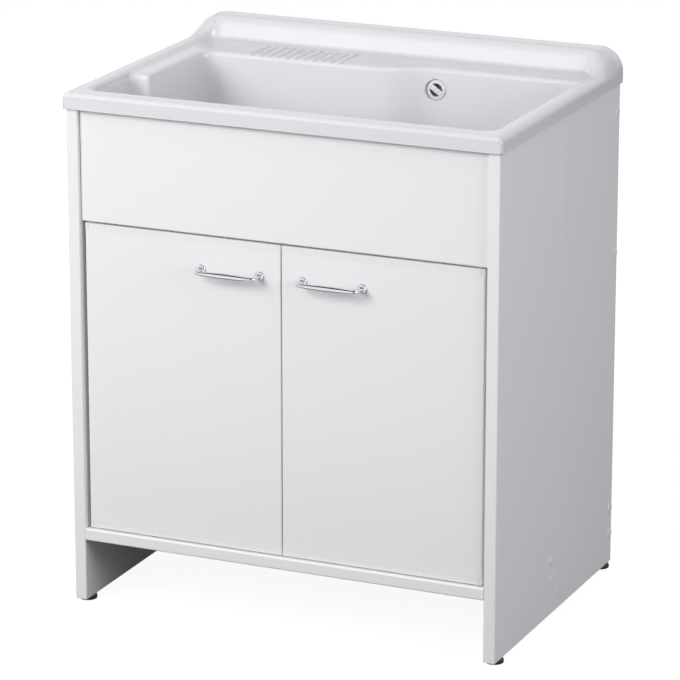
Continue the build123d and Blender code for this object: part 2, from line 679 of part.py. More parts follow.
def cross_board(width, start_y, bottom_z, half_length, edge_web, flat, tongue=False, groove=False):
    """Board that runs from side to side, lying flat or standing on its edge."""
    section = board_section(width, edge_web, tongue, groove)
    half = BOARD_THICKNESS / 2
    if flat:
        plane = Plane(origin=(-half_length, start_y, bottom_z + half), x_dir=(0, 1, 0), z_dir=(1, 0, 0))
    else:
        plane = Plane(origin=(-half_length, start_y + half, bottom_z), x_dir=(0, 0, 1), z_dir=(1, 0, 0))
    return extrude(plane * section, 2 * half_length, dir=(1, 0, 0))


def fascia():
    height = BOARD_TOP_Z - FASCIA_Z
    half_length = INNER_HALF - FASCIA_SIDE_GAP
    board = cross_board(height, FRONT_Y + FASCIA_RECESS, FASCIA_Z, half_length, EDGE_WEB, flat=False)
    for side in (-1, 1):
        hole = rod(BUSH_R + BUSH_CLEARANCE, FASCIA_Z - 1, FASCIA_Z + BUSH_DEPTH + BUSH_CLEARANCE)
        board -= at(side * PIVOT_X, DOOR_MIDDLE_Y, 0) * hole
    for spot in bracket_screw_spots() + catch_screw_spots():
        board -= spot * rod(SCREW_R + SCREW_CLEARANCE, -SCREW_LENGTH, 1)
    return board


def bottom_board(start, tongue, groove):
    width = BOARD_DEPTH
    board = cross_board(width, FRONT_Y + start, BOTTOM_BOARD_Z, INNER_HALF, EDGE_WEB, True, tongue, groove)
    if start == 0:
        for side in (-1, 1):
            hole_depth = BUSH_DEPTH + BUSH_CLEARANCE
            hole = rod(BUSH_R + BUSH_CLEARANCE, BOTTOM_TOP_Z - hole_depth, BOTTOM_TOP_Z + 1)
            board -= at(side * PIVOT_X, DOOR_MIDDLE_Y, 0) * hole
    for spot in cleat_screw_spots():
        board -= spot * rod(SCREW_R + SCREW_CLEARANCE, -SCREW_LENGTH, 1)
    return board


def rail(bottom_z, height, wall_holes=False):
    start_y = BACK_Y - BOARD_THICKNESS
    board = cross_board(height, start_y, bottom_z, INNER_HALF, RAIL_EDGE_WEB, flat=False)
    for back, z in SIDE_SCREW_PLACES:
        if back > BOARD_DEPTH and bottom_z < z < bottom_z + height:
            hole = side_screw_spot(back, z) * rod(SCREW_R + SCREW_CLEARANCE, -SCREW_LENGTH - 1, 0)
            board = board - hole - mirror(hole, about=Plane.YZ)
    if wall_holes:
        for side in (-1, 1):
            spot = at(side * WALL_HOLE_SPACING / 2, start_y + BOARD_THICKNESS / 2, bottom_z + height / 2)
            board -= spot * Rot(90, 0, 0) * Cylinder(WALL_HOLE_R, 2 * BOARD_THICKNESS)
    return board


# ---------------------------------------------------------------- brackets inside
def right_bracket():
    """Angle with gussets, between the rear face of the fascia and the right side board."""
    face_y = FRONT_Y + FASCIA_RECESS + BOARD_THICKNESS
    low, high = BRACKET_Z, BRACKET_Z + BRACKET_HEIGHT
    inner_x = INNER_HALF - BRACKET_LEG
    angle = box(inner_x, INNER_HALF, face_y, face_y + BRACKET_T, low, high)
    angle += box(INNER_HALF - BRACKET_T, INNER_HALF, face_y, face_y + BRACKET_LEG, low, high)
    corner_x, corner_y = INNER_HALF - BRACKET_T, face_y + BRACKET_T
    web = Polyline(
        (corner_x, corner_y),
        (corner_x - BRACKET_GUSSET, corner_y),
        (corner_x, corner_y + BRACKET_GUSSET),
        close=True,
    )
    for index in range(BRACKET_GUSSETS):
        z = low + index * (BRACKET_HEIGHT - BRACKET_T) / (BRACKET_GUSSETS - 1)
        angle += at(0, 0, z) * extrude(make_face(web), BRACKET_T, dir=(0, 0, 1))
    for spot in bracket_screw_spots() + bracket_side_spots():
        angle -= spot * rod(SCREW_R + SCREW_CLEARANCE, -BRACKET_T - 1, 1)
    return angle


def bracket_screw_spots():
    """Screw seats on the brackets' front legs, both sides; up is to the rear."""
    seat_y = FRONT_Y + FASCIA_RECESS + BOARD_THICKNESS + BRACKET_T
    x = INNER_HALF - BRACKET_LEG + BRACKET_SCREW_EDGE
    spots = []
    for side in (-1, 1):
        for z in (BRACKET_Z + BRACKET_SCREW_INSET, BRACKET_Z + BRACKET_HEIGHT - BRACKET_SCREW_INSET):
            spots.append(at(side * x, seat_y, z) * Rot(-90, 0, 0))
    return spots


def bracket_side_spots():
    """Screw seats on the brackets' side legs; up is towards the middle of the cabinet."""
    y = FRONT_Y + FASCIA_RECESS + BOARD_THICKNESS + BRACKET_LEG - BRACKET_SCREW_EDGE
    spots = []
    for side in (-1, 1):
        for z in (BRACKET_Z + BRACKET_SCREW_INSET, BRACKET_Z + BRACKET_HEIGHT - BRACKET_SCREW_INSET):
            spots.append(at(side * (INNER_HALF - BRACKET_T), y, z) * Rot(0, -90 * side, 0))
    return spots


def right_cleat():
    """Shelf bracket under the bottom boards, with ribs, screwed to the side and to the boards."""
    middle_y = FRONT_Y + CLEAT_BACK
    front_y, rear_y = middle_y - CLEAT_WIDTH / 2, middle_y + CLEAT_WIDTH / 2
    low = BOTTOM_BOARD_Z - CLEAT_HEIGHT
    cleat = box(INNER_HALF - CLEAT_T, INNER_HALF, front_y, rear_y, low, BOTTOM_BOARD_Z)
    inner_x = INNER_HALF - CLEAT_LEG
    cleat += box(inner_x, INNER_HALF, front_y, rear_y, BOTTOM_BOARD_Z - CLEAT_T, BOTTOM_BOARD_Z)
    web = Polyline(
        (INNER_HALF - CLEAT_T, low),
        (INNER_HALF - CLEAT_T, BOTTOM_BOARD_Z - CLEAT_T),
        (inner_x, BOTTOM_BOARD_Z - CLEAT_T),
        close=True,
    )
    rib = extrude(Plane.XZ * make_face(web), CLEAT_T / 2, dir=(0, 1, 0))
    for y in (front_y, rear_y - CLEAT_T / 2):
        cleat += at(0, y, 0) * rib
    for back, z in SIDE_SCREW_PLACES:
        if back == CLEAT_BACK:
            cleat -= side_screw_spot(back, z) * rod(SCREW_R + SCREW_CLEARANCE, -SCREW_LENGTH, 0)
    for spot in cleat_screw_spots():
        cleat -= spot * rod(SCREW_R + SCREW_CLEARANCE, -SCREW_LENGTH, 1)
    return cleat


def cleat_screw_spots():
    """Screw seats under the shelf brackets, both sides; up is down towards the floor."""
    spots = []
    for side in (-1, 1):
        for step in (-1, 1):
            x = side * (INNER_HALF - CLEAT_LEG + CLEAT_SCREW_EDGE)
            y = FRONT_Y + CLEAT_BACK + step * CLEAT_WIDTH / 4
            spots.append(at(x, y, BOTTOM_BOARD_Z - CLEAT_T) * Rot(180, 0, 0))
    return spots


def right_bushes():
    """Flanged bushes for the pivot pins, one in the fascia and one in the bottom board."""
    pieces = []
    for face_z, up, gap in ((FASCIA_Z, 1, BUSH_TOP_GAP), (BOTTOM_TOP_Z, -1, BUSH_BOTTOM_GAP)):
        room = DOOR_TOP_GAP if up > 0 else DOOR_BOTTOM_GAP
        flange_t = room - gap
        bush = rod(BUSH_R, 0, BUSH_DEPTH) + rod(BUSH_FLANGE_R, -flange_t, 0)
        bush -= rod(PIVOT_PIN_R + PIVOT_CLEARANCE, -room, BUSH_DEPTH - PIVOT_PIN_SHORT / 2)
        turn = Rot(0, 0, 0) if up > 0 else Rot(180, 0, 0)
        pieces.append(at(PIVOT_X, DOOR_MIDDLE_Y, face_z) * turn * bush)
    return pieces


def catch_front_y():
    return DOOR_BACK_Y + STRIKE_T + STRIKE_GAP


def catch_screw_spots():
    """Screw seats on the catches' plates, both sides; up is to the rear."""
    seat_y = FRONT_Y + FASCIA_RECESS + BOARD_THICKNESS + CATCH_PLATE_T
    spots = []
    for side in (-1, 1):
        for step in (-1, 1):
            x = side * CATCH_OFFSET + step * (CATCH_WIDTH / 2 - CATCH_SCREW_INSET)
            spots.append(at(x, seat_y, FASCIA_Z + CATCH_PLATE_HEIGHT - CATCH_SCREW_INSET) * Rot(-90, 0, 0))
    return spots


def right_catch():
    """Magnetic catch hung from the rear face of the fascia, with two pole strips."""
    face_y = FRONT_Y + FASCIA_RECESS + BOARD_THICKNESS
    half = CATCH_WIDTH / 2
    low_z = FASCIA_Z - CATCH_HEIGHT
    front_y = catch_front_y() + CATCH_PLATE_T / 2
    case = box(-half, half, front_y, front_y + CATCH_DEPTH, low_z, FASCIA_Z)
    case = fillet(case.edges().filter_by(Axis.Z), CATCH_CASE_R)
    plate_y = face_y + CATCH_PLATE_T
    case += box(-half, half, face_y, plate_y, FASCIA_Z, FASCIA_Z + CATCH_PLATE_HEIGHT)
    shelf_y = plate_y - CATCH_PLATE_T / 2
    case += box(-half, half, shelf_y, front_y + CATCH_DEPTH, FASCIA_Z, FASCIA_Z + CATCH_PLATE_T)
    strike_z = DOOR_TOP_Z - DOOR_CAP_HEIGHT / 2
    for offset in (-CATCH_POLE, CATCH_POLE):
        z0 = strike_z + offset - CATCH_POLE / 4
        reach = half - CATCH_POLE_INSET
        case += box(-reach, reach, catch_front_y(), front_y + CATCH_POLE / 4, z0, z0 + CATCH_POLE / 2)
    case = at(CATCH_OFFSET, 0, 0) * case
    for spot in catch_screw_spots():
        case -= spot * rod(SCREW_R + SCREW_CLEARANCE, -SCREW_LENGTH, 1)
    return case


# ---------------------------------------------------------------- doors
def door_edges():
    """Inner and outer edge of the right-hand door's board, from the middle of the cabinet."""
    return DOOR_MIDDLE_X - DOOR_WIDTH / 2, DOOR_MIDDLE_X + DOOR_WIDTH / 2


def handle_posts():
    return [HANDLE_INNER_POST, HANDLE_INNER_POST + HANDLE_PITCH]


def right_panel():
    """Door board with upright cells, open at both ends for its caps."""
    inner_x = door_edges()[0]
    low, high = DOOR_Z + DOOR_CAP_HEIGHT, DOOR_TOP_Z - DOOR_CAP_HEIGHT
    panel = extrude(Pos(inner_x, DOOR_MIDDLE_Y) * board_section(DOOR_WIDTH), high - low)
    panel = at(0, 0, low) * panel
    for x in handle_posts():
        hole = Cylinder(HANDLE_SCREW_R + SCREW_CLEARANCE, 2 * BOARD_THICKNESS)
        panel -= at(x, DOOR_MIDDLE_Y, HANDLE_Z) * Rot(90, 0, 0) * hole
    return panel


def right_door_cap(top):
    """Cap that closes one end of the right door and holds its pivot pin."""
    inner_x, outer_x = door_edges()
    low = DOOR_TOP_Z - DOOR_CAP_HEIGHT if top else DOOR_Z
    high = low + DOOR_CAP_HEIGHT
    plan = RectangleRounded(DOOR_WIDTH + 2 * DOOR_CAP_OVERHANG, BOARD_THICKNESS, BOARD_CORNER)
    cap = at(DOOR_MIDDLE_X, DOOR_MIDDLE_Y, low) * extrude(plan, DOOR_CAP_HEIGHT)
    if top:
        plug_low, plug_high = low - PLUG_DEPTH, low + JOINT_STEP
    else:
        plug_low, plug_high = high - JOINT_STEP, high + PLUG_DEPTH
    for block in plugs(DOOR_WIDTH, EDGE_WEB, plug_low, plug_high):
        cap += at(inner_x, DOOR_MIDDLE_Y, 0) * block
    slit_x = outer_x - DOOR_CAP_SLIT_INSET
    for face_y in (DOOR_FRONT_Y, DOOR_BACK_Y):
        cap -= box(slit_x - DOOR_CAP_SLIT, slit_x, face_y - 1, face_y + 1, low - 1, high + 1)
    hole_low = high - PIVOT_PIN_ENGAGEMENT if top else low - 1
    hole_high = high + 1 if top else low + PIVOT_PIN_ENGAGEMENT
    cap -= at(PIVOT_X, DOOR_MIDDLE_Y, 0) * rod(PIVOT_PIN_R, hole_low, hole_high)
    if top:
        for stud in strike_studs(PUSH_CLEARANCE):
            cap -= stud
    return cap


def right_pins():
    """Steel pivot pins, one standing up out of the top cap and one down out of the bottom cap."""
    reach = BUSH_DEPTH - PIVOT_PIN_SHORT
    upper = rod(PIVOT_PIN_R, DOOR_TOP_Z - PIVOT_PIN_ENGAGEMENT, FASCIA_Z + reach)
    upper = chamfer(upper.edges().group_by(Axis.Z)[-1], PIVOT_PIN_BEVEL)
    lower = rod(PIVOT_PIN_R, BOTTOM_TOP_Z - reach, DOOR_Z + PIVOT_PIN_ENGAGEMENT)
    lower = chamfer(lower.edges().group_by(Axis.Z)[0], PIVOT_PIN_BEVEL)
    return [at(PIVOT_X, DOOR_MIDDLE_Y, 0) * pin for pin in (upper, lower)]


def strike_studs(clearance):
    studs = []
    z = DOOR_TOP_Z - DOOR_CAP_HEIGHT / 2
    for step in (-1, 1):
        x = CATCH_OFFSET + step * STRIKE_WIDTH / 4
        stud = rod(STRIKE_STUD_R + clearance, -STUD_ROOT, STRIKE_STUD + clearance)
        studs.append(at(x, DOOR_BACK_Y, z) * Rot(90, 0, 0) * stud)
    return studs


def right_strike():
    """Steel plate on the back of the top cap, held by two studs."""
    z = DOOR_TOP_Z - DOOR_CAP_HEIGHT / 2
    plate = extrude(RectangleRounded(STRIKE_WIDTH, STRIKE_HEIGHT, STRIKE_CORNER_R), STRIKE_T)
    plate = at(CATCH_OFFSET, DOOR_BACK_Y, z) * Rot(-90, 0, 0) * plate
    for stud in strike_studs(0):
        plate += stud
    return plate


def right_handle():
    """Bow handle: two straight posts, quarter bends, and a bar that swells in the middle."""
    reach = HANDLE_REACH - HANDLE_BAR_R
    bend_y = -(reach - HANDLE_BEND_R)
    half = HANDLE_PITCH / 2
    profile = Circle(HANDLE_WIRE_R)
    end_x = half - HANDLE_BEND_R
    bar_line = ThreePointArc((-end_x, HANDLE_WIRE_R), (0, HANDLE_BAR_R), (end_x, HANDLE_WIRE_R))
    outline = bar_line + Polyline((end_x, HANDLE_WIRE_R), (end_x, 0), (-end_x, 0), (-end_x, HANDLE_WIRE_R))
    bar = revolve(make_face(outline), Axis.X)
    handle = at(0, -reach, 0) * bar
    for side in (-1, 1):
        post = Rot(90, 0, 0) * rod(HANDLE_WIRE_R, 0, -bend_y)
        handle += at(side * half, 0, 0) * post
        arc = Plane(origin=(side * half, bend_y, 0), x_dir=(1, 0, 0), z_dir=(0, 1, 0)) * profile
        bend = revolve(arc, Axis((side * (half - HANDLE_BEND_R), bend_y, 0), (0, 0, side)), -90)
        handle += bend
        bore = rod(HANDLE_SCREW_R, -1, HANDLE_SCREW_GRIP)
        handle -= at(side * half, 0, 0) * Rot(90, 0, 0) * bore
    return at(sum(handle_posts()) / 2, DOOR_FRONT_Y, HANDLE_Z) * handle


def right_rosettes():
    """Turned discs round the posts of the handle, against the door."""
    pieces = []
    for x in handle_posts():
        disc = tube(ROSETTE_R, HANDLE_WIRE_R + PUSH_CLEARANCE, 0, ROSETTE_T)
        rim = [e for e in disc.edges().group_by(Axis.Z)[-1] if e.radius > HANDLE_WIRE_R + 1]
        disc = fillet(rim, ROSETTE_T / 2)
        pieces.append(at(x, DOOR_FRONT_Y, HANDLE_Z) * Rot(90, 0, 0) * disc)
    return pieces


def right_handle_screws():
    pieces = []
    length = BOARD_THICKNESS + HANDLE_SCREW_GRIP - SEAT_GAP
    for x in handle_posts():
        head = rod(HANDLE_SCREW_HEAD_R, 0, HANDLE_SCREW_HEAD_T)
        head = chamfer(head.edges().group_by(Axis.Z)[-1], SCREW_HEAD_BEVEL)
        head -= at(0, 0, HANDLE_SCREW_HEAD_T) * Box(SCREW_CROSS, SCREW_SLOT, HANDLE_SCREW_HEAD_T)
        whole = head + rod(HANDLE_SCREW_R, -length, 0)
        pieces.append(at(x, DOOR_BACK_Y, HANDLE_Z) * Rot(-90, 0, 0) * whole)
    return pieces


# ---------------------------------------------------------------- overflow
def overflow_frame(y):
    """Frame on the overflow's axis with its up direction to the rear."""
    return at(OVERFLOW_X, y, OVERFLOW_Z) * Rot(-90, 0, 0)


def overflow_rosette():
    """Ring with one slanting bar across it."""
    inner_r = OVERFLOW_HOLE_R - OVERFLOW_RING_LIP
    ring = tube(OVERFLOW_RING_R, inner_r, -OVERFLOW_RING_T, 0)
    front = [e for e in ring.edges().group_by(Axis.Z)[0] if e.radius > OVERFLOW_HOLE_R]
    ring = fillet(front, OVERFLOW_RING_EDGE)
    half = OVERFLOW_BAR_WIDTH / 2
    bar = box(-OVERFLOW_HOLE_R, OVERFLOW_HOLE_R, -half, half, -OVERFLOW_RING_T, -OVERFLOW_RING_LIP)
    bar = fillet(bar.edges().group_by(Axis.Z)[0].filter_by(Axis.X), OVERFLOW_RING_EDGE / 2)
    ring += Rot(0, 0, -OVERFLOW_BAR_ANGLE) * bar
    ring -= rod(OVERFLOW_SCREW_R + SCREW_CLEARANCE, -2 * OVERFLOW_RING_T, 1)
    return overflow_frame(OVERFLOW_SEAT_Y) * ring


def overflow_screw():
    top = OVERFLOW_RING_T
    length = top + OVERFLOW_FLANGE_Y - OVERFLOW_SEAT_Y + OVERFLOW_BODY_DEPTH - OVERFLOW_SCREW_TAIL
    head = rod(OVERFLOW_SCREW_HEAD_R, 0, OVERFLOW_SCREW_HEAD_T)
    head = chamfer(head.edges().group_by(Axis.Z)[-1], SCREW_HEAD_BEVEL)
    head -= at(0, 0, OVERFLOW_SCREW_HEAD_T) * Box(SCREW_CROSS, SCREW_SLOT, OVERFLOW_SCREW_HEAD_T)
    whole = head + rod(OVERFLOW_SCREW_R, -length, 0)
    return overflow_frame(OVERFLOW_SEAT_Y - top) * Rot(180, 0, 0) * whole


def overflow_gasket():
    ring = tube(OVERFLOW_SEAT_R, OVERFLOW_HOLE_R, 0, GASKET_T)
    return overflow_frame(OVERFLOW_BACK_Y) * ring


def overflow_elbow():
    """Cup behind the basin wall with a spigot that points down."""
    body_r = OVERFLOW_HOLE_R + OVERFLOW_BODY_WALL
    body = rod(OVERFLOW_BODY_R, 0, OVERFLOW_FLANGE_T) + rod(body_r, 0, OVERFLOW_BODY_DEPTH)
    spigot_up = OVERFLOW_PIPE_Y - OVERFLOW_FLANGE_Y
    reach = body_r + OVERFLOW_SPIGOT
    socket_r = OVERFLOW_PIPE_R + OVERFLOW_BODY_WALL
    down = Pos(0, 0, spigot_up) * Rot(-90, 0, 0)
    body += down * rod(socket_r, 0, reach)
    body -= rod(OVERFLOW_HOLE_R, -1, OVERFLOW_BODY_DEPTH - OVERFLOW_BODY_WALL)
    body -= down * rod(OVERFLOW_PIPE_R + PUSH_CLEARANCE, body_r, reach + 1)
    body -= down * rod(OVERFLOW_PIPE_BORE, 0, reach)
    post_r = OVERFLOW_SCREW_R + OVERFLOW_POST_WALL
    floor_z = OVERFLOW_BODY_DEPTH - OVERFLOW_BODY_WALL
    body += rod(post_r, floor_z - OVERFLOW_POST, OVERFLOW_BODY_DEPTH)
    body -= rod(OVERFLOW_SCREW_R, -1, OVERFLOW_BODY_DEPTH - OVERFLOW_BODY_WALL / 2)
    return overflow_frame(OVERFLOW_FLANGE_Y) * Rot(0, 0, 180) * body


def overflow_pipe():
    """Rigid pipe: down behind the basin, then forward under it to the waste."""
    top_z = OVERFLOW_Z - OVERFLOW_HOLE_R - OVERFLOW_BODY_WALL - SEAT_GAP
    end_y = DRAIN_Y + DRAIN_BODY_R + SEAT_GAP
    route = FilletPolyline(
        (OVERFLOW_X, OVERFLOW_PIPE_Y, top_z),
        (OVERFLOW_X, OVERFLOW_PIPE_Y, OVERFLOW_PIPE_Z),
        (OVERFLOW_X, end_y, OVERFLOW_PIPE_Z),
        radius=OVERFLOW_PIPE_BEND,
    )
    start = Plane(origin=(OVERFLOW_X, OVERFLOW_PIPE_Y, top_z), z_dir=(0, 0, -1))
    ring = start * (Circle(OVERFLOW_PIPE_R) - Circle(OVERFLOW_PIPE_BORE))
    return sweep(ring, path=route)


# ---------------------------------------------------------------- waste and trap
def drain_frame(z):
    return at(DRAIN_X, DRAIN_Y, z)


def drain_strainer():
    """Flange and perforated cup that sit in the floor of the well."""
    cup_r = DRAIN_HOLE_R - 0.5
    piece = rod(DRAIN_FLANGE_R, 0, DRAIN_FLANGE_T) + rod(cup_r, -DRAIN_CUP_DEPTH, 0)
    inner_r = cup_r - DRAIN_CUP_WALL
    piece -= rod(inner_r, -DRAIN_CUP_DEPTH + DRAIN_CUP_WALL, DRAIN_FLANGE_T + 1)
    mouth = [e for e in piece.edges().group_by(Axis.Z)[-1] if e.radius < DRAIN_FLANGE_R - 1]
    piece = fillet(mouth, DRAIN_MOUTH_R)
    outer = [e for e in piece.edges().group_by(Axis.Z)[-1] if e.radius > DRAIN_FLANGE_R - 1]
    piece = chamfer(outer, DRAIN_FLANGE_BEVEL)
    slot_length = inner_r - DRAIN_SCREW_HEAD_R - DRAIN_SLOT_MARGIN - DRAIN_SLOT_START
    slot = SlotOverall(slot_length, DRAIN_SLOT_WIDTH)
    for index in range(DRAIN_SLOT_COUNT):
        turn = Rot(0, 0, index * 360 / DRAIN_SLOT_COUNT)
        place = Pos(DRAIN_SCREW_HEAD_R + DRAIN_SLOT_START + slot_length / 2, 0, -DRAIN_CUP_DEPTH - 1)
        piece -= turn * place * extrude(slot, 2 * DRAIN_CUP_WALL)
    piece -= rod(DRAIN_SCREW_R + SCREW_CLEARANCE, -DRAIN_CUP_DEPTH - 1, 0)
    return drain_frame(DRAIN_SEAT_Z) * piece


def bridge_z():
    return DRAIN_BODY_Z - DRAIN_BODY_FLANGE_T - DRAIN_BRIDGE_DEPTH


def drain_screw():
    seat_z = DRAIN_SEAT_Z - DRAIN_CUP_DEPTH + DRAIN_CUP_WALL
    length = seat_z - bridge_z() + DRAIN_BRIDGE_T + DRAIN_SCREW_TAIL
    head = rod(DRAIN_SCREW_HEAD_R, 0, DRAIN_SCREW_HEAD_T)
    head = chamfer(head.edges().group_by(Axis.Z)[-1], SCREW_HEAD_BEVEL)
    head -= at(0, 0, DRAIN_SCREW_HEAD_T) * Box(2 * SCREW_CROSS, SCREW_SLOT, DRAIN_SCREW_HEAD_T)
    return drain_frame(seat_z) * (head + rod(DRAIN_SCREW_R, -length, 0))


def drain_gasket():
    ring = tube(DRAIN_BODY_FLANGE_R, DRAIN_HOLE_R, 0, GASKET_T)
    return drain_frame(DRAIN_BODY_Z) * ring


def drain_body():
    """Waste body with a bridge for the screw, a side port and a lower spigot."""
    piece = rod(DRAIN_BODY_FLANGE_R, DRAIN_BODY_Z - DRAIN_BODY_FLANGE_T, DRAIN_BODY_Z)
    piece += rod(DRAIN_BODY_R, DRAIN_BODY_END_Z, DRAIN_BODY_Z)
    port = Pos(0, 0, OVERFLOW_PIPE_Z) * Rot(-90, 0, 0)
    piece += port * rod(DRAIN_PORT_R, 0, DRAIN_BODY_R + DRAIN_PORT)
    inner_r = DRAIN_BODY_R - DRAIN_BODY_WALL
    piece -= rod(inner_r, DRAIN_BODY_END_Z + DRAIN_BODY_WALL, DRAIN_BODY_Z + 1)
    piece += rod(DRAIN_SPIGOT_R, SPIGOT_END_Z, DRAIN_BODY_END_Z)
    piece -= rod(TAILPIECE_BORE, SPIGOT_END_Z, DRAIN_BODY_END_Z + 2 * DRAIN_BODY_WALL)
    piece -= rod(TAILPIECE_R + PUSH_CLEARANCE, SPIGOT_END_Z - 1, DRAIN_BODY_END_Z)
    piece -= port * rod(OVERFLOW_PIPE_BORE, 0, DRAIN_BODY_R + 1)
    piece -= port * rod(OVERFLOW_PIPE_R + PUSH_CLEARANCE, DRAIN_BODY_R, DRAIN_BODY_R + DRAIN_PORT + 1)
    low = bridge_z() - DRAIN_BRIDGE_T
    half = DRAIN_BRIDGE_WIDTH / 2
    bar = box(-inner_r - 1, inner_r + 1, -half, half, low, bridge_z())
    piece += bar + rod(DRAIN_SCREW_HEAD_R, low, bridge_z())
    piece -= rod(DRAIN_SCREW_R, low - 1, bridge_z() + 1)
    return drain_frame(0) * piece


def union_nut(bore_r):
    """Ribbed nut, its lower face at the origin."""
    nut = tube(NUT_R - NUT_RIB_R, bore_r, 0, NUT_HEIGHT)
    nut += tube(NUT_R - NUT_RIB_R / 2, bore_r, 0, NUT_RIM)
    for index in range(NUT_RIBS):
        turn = Rot(0, 0, index * 360 / NUT_RIBS)
        nut += turn * Pos(NUT_R - NUT_RIB_R, 0, 0) * rod(NUT_RIB_R, 0, NUT_HEIGHT)
    return nut


def drain_nut():
    piece = union_nut(DRAIN_SPIGOT_R + PUSH_CLEARANCE)
    low = SPIGOT_END_Z - JOINT_STEP
    lip = tube(DRAIN_SPIGOT_R + 1, TAILPIECE_R + PUSH_CLEARANCE, low, SPIGOT_END_Z)
    piece = at(0, 0, low) * piece + lip
    return drain_frame(0) * piece


def trap_inlet_pipe():
    low = TAILPIECE_TOP_Z - TAILPIECE_LENGTH
    return drain_frame(0) * tube(TAILPIECE_R, TAILPIECE_BORE, low, TAILPIECE_TOP_Z)


def trap_body():
    """Upper half of the bottle trap: a neck for the inlet and a neck to the rear."""
    piece = rod(TRAP_R, TRAP_BODY_END_Z, TRAP_TOP_Z)
    piece = fillet(piece.edges().group_by(Axis.Z)[-1], TRAP_SHOULDER_R)
    side = Pos(0, 0, OUTLET_Z) * Rot(-90, 0, 0)
    piece += rod(TRAP_NECK_R, TRAP_TOP_Z - TRAP_ROOF, TRAP_TOP_Z + TRAP_NECK)
    piece += side * rod(TRAP_NECK_R, 0, TRAP_R + TRAP_NECK)
    piece -= rod(TRAP_R - TRAP_WALL, TRAP_BODY_END_Z - 1, TRAP_TOP_Z - TRAP_ROOF)
    piece -= rod(TAILPIECE_R + PUSH_CLEARANCE, TRAP_TOP_Z - TRAP_ROOF - 1, TRAP_TOP_Z + TRAP_NECK + 1)
    piece -= side * rod(OUTLET_BORE, TRAP_R - 2 * TRAP_WALL, TRAP_R + 1)
    piece -= side * rod(OUTLET_R + PUSH_CLEARANCE, TRAP_R, TRAP_R + TRAP_NECK + 1)
    return drain_frame(0) * piece


def trap_nut(frame):
    """Nut round a neck of the trap, with an inward lip against the pipe."""
    piece = union_nut(TRAP_NECK_R + PUSH_CLEARANCE)
    piece = mirror(piece, about=Plane.XY)
    piece += tube(TRAP_NECK_R + 1, TAILPIECE_R + PUSH_CLEARANCE, 0, JOINT_STEP)
    keep = rod(NUT_R + 5, -TRAP_NECK + SEAT_GAP, JOINT_STEP + 1)
    return frame * (piece & keep)


def trap_inlet_nut():
    return trap_nut(drain_frame(TRAP_TOP_Z + TRAP_NECK))


def trap_outlet_nut():
    return trap_nut(at(DRAIN_X, OUTLET_START_Y + TRAP_NECK, OUTLET_Z) * Rot(-90, 0, 0))


def trap_cup():
    """Screw-on cup that closes the trap from below, ribbed for the hand."""
    high = TRAP_BODY_END_Z + TRAP_CUP_LAP
    low = high - TRAP_CUP_HEIGHT
    piece = rod(TRAP_CUP_R, low, high)
    piece = fillet(piece.edges().group_by(Axis.Z)[0], TRAP_CUP_R_FOOT)
    piece -= rod(TRAP_R + PUSH_CLEARANCE, TRAP_BODY_END_Z, high + 1)
    piece -= rod(TRAP_R - TRAP_WALL, low + TRAP_WALL, high)
    for index in range(2 * NUT_RIBS):
        turn = Rot(0, 0, index * 180 / NUT_RIBS)
        piece += turn * Pos(TRAP_CUP_R, 0, 0) * rod(NUT_RIB_R / 2, high - TRAP_CUP_GRIP, high)
    return drain_frame(0) * piece


def outlet_pipe():
    """Straight pipe from the trap to the rear, with a stop bead before its free end."""
    frame = at(DRAIN_X, 0, OUTLET_Z) * Rot(-90, 0, 0)
    piece = tube(OUTLET_R, OUTLET_BORE, OUTLET_START_Y + SEAT_GAP, OUTLET_END_Y)
    bead = OUTLET_END_Y - OUTLET_BEAD
    piece += tube(OUTLET_BEAD_R, OUTLET_BORE, bead - OUTLET_BEAD_T, bead)
    return frame * piece


# ---------------------------------------------------------------- write every node
os.makedirs("parts", exist_ok=True)
save(basin(), "basin")

for side, word in ((1, "right"), (-1, "left")):
    front = side_board(0, tongue=False, groove=True)
    rear = side_board(BOARD_DEPTH, tongue=True, groove=False)
    save(mirrored(front, side), f"{word}_front_side")
    save(mirrored(rear, side), f"{word}_rear_side")
    save(mirrored(side_cap(), side), f"{word}_side_strip")
    feet = [foot(FOOT_INSET), foot(CABINET_DEPTH - FOOT_INSET)]
    save(mirrored(together(feet), side), f"{word}_feet")
    save(mirrored(together(side_screws()), side), f"{word}_side_screws")
    caps = [screw_cap(back, z) for back, z in SIDE_SCREW_PLACES]
    save(mirrored(together(caps), side), f"{word}_screw_caps")
    save(mirrored(right_bracket(), side), f"{word}_fascia_bracket")
    save(mirrored(right_cleat(), side), f"{word}_shelf_bracket")
    save(mirrored(together(right_bushes()), side), f"{word}_pivot_bushes")
    save(mirrored(right_catch(), side), f"{word}_catch")
    save(mirrored(right_panel(), side), f"{word}_door_panel")
    save(mirrored(right_door_cap(top=True), side), f"{word}_door_top_cap")
    save(mirrored(right_door_cap(top=False), side), f"{word}_door_bottom_cap")
    save(mirrored(together(right_pins()), side), f"{word}_pivot_pins")
    save(mirrored(right_strike(), side), f"{word}_strike_plate")
    save(mirrored(right_handle(), side), f"{word}_handle")
    save(mirrored(together(right_rosettes()), side), f"{word}_rosettes")
    save(mirrored(together(right_handle_screws()), side), f"{word}_handle_screws")

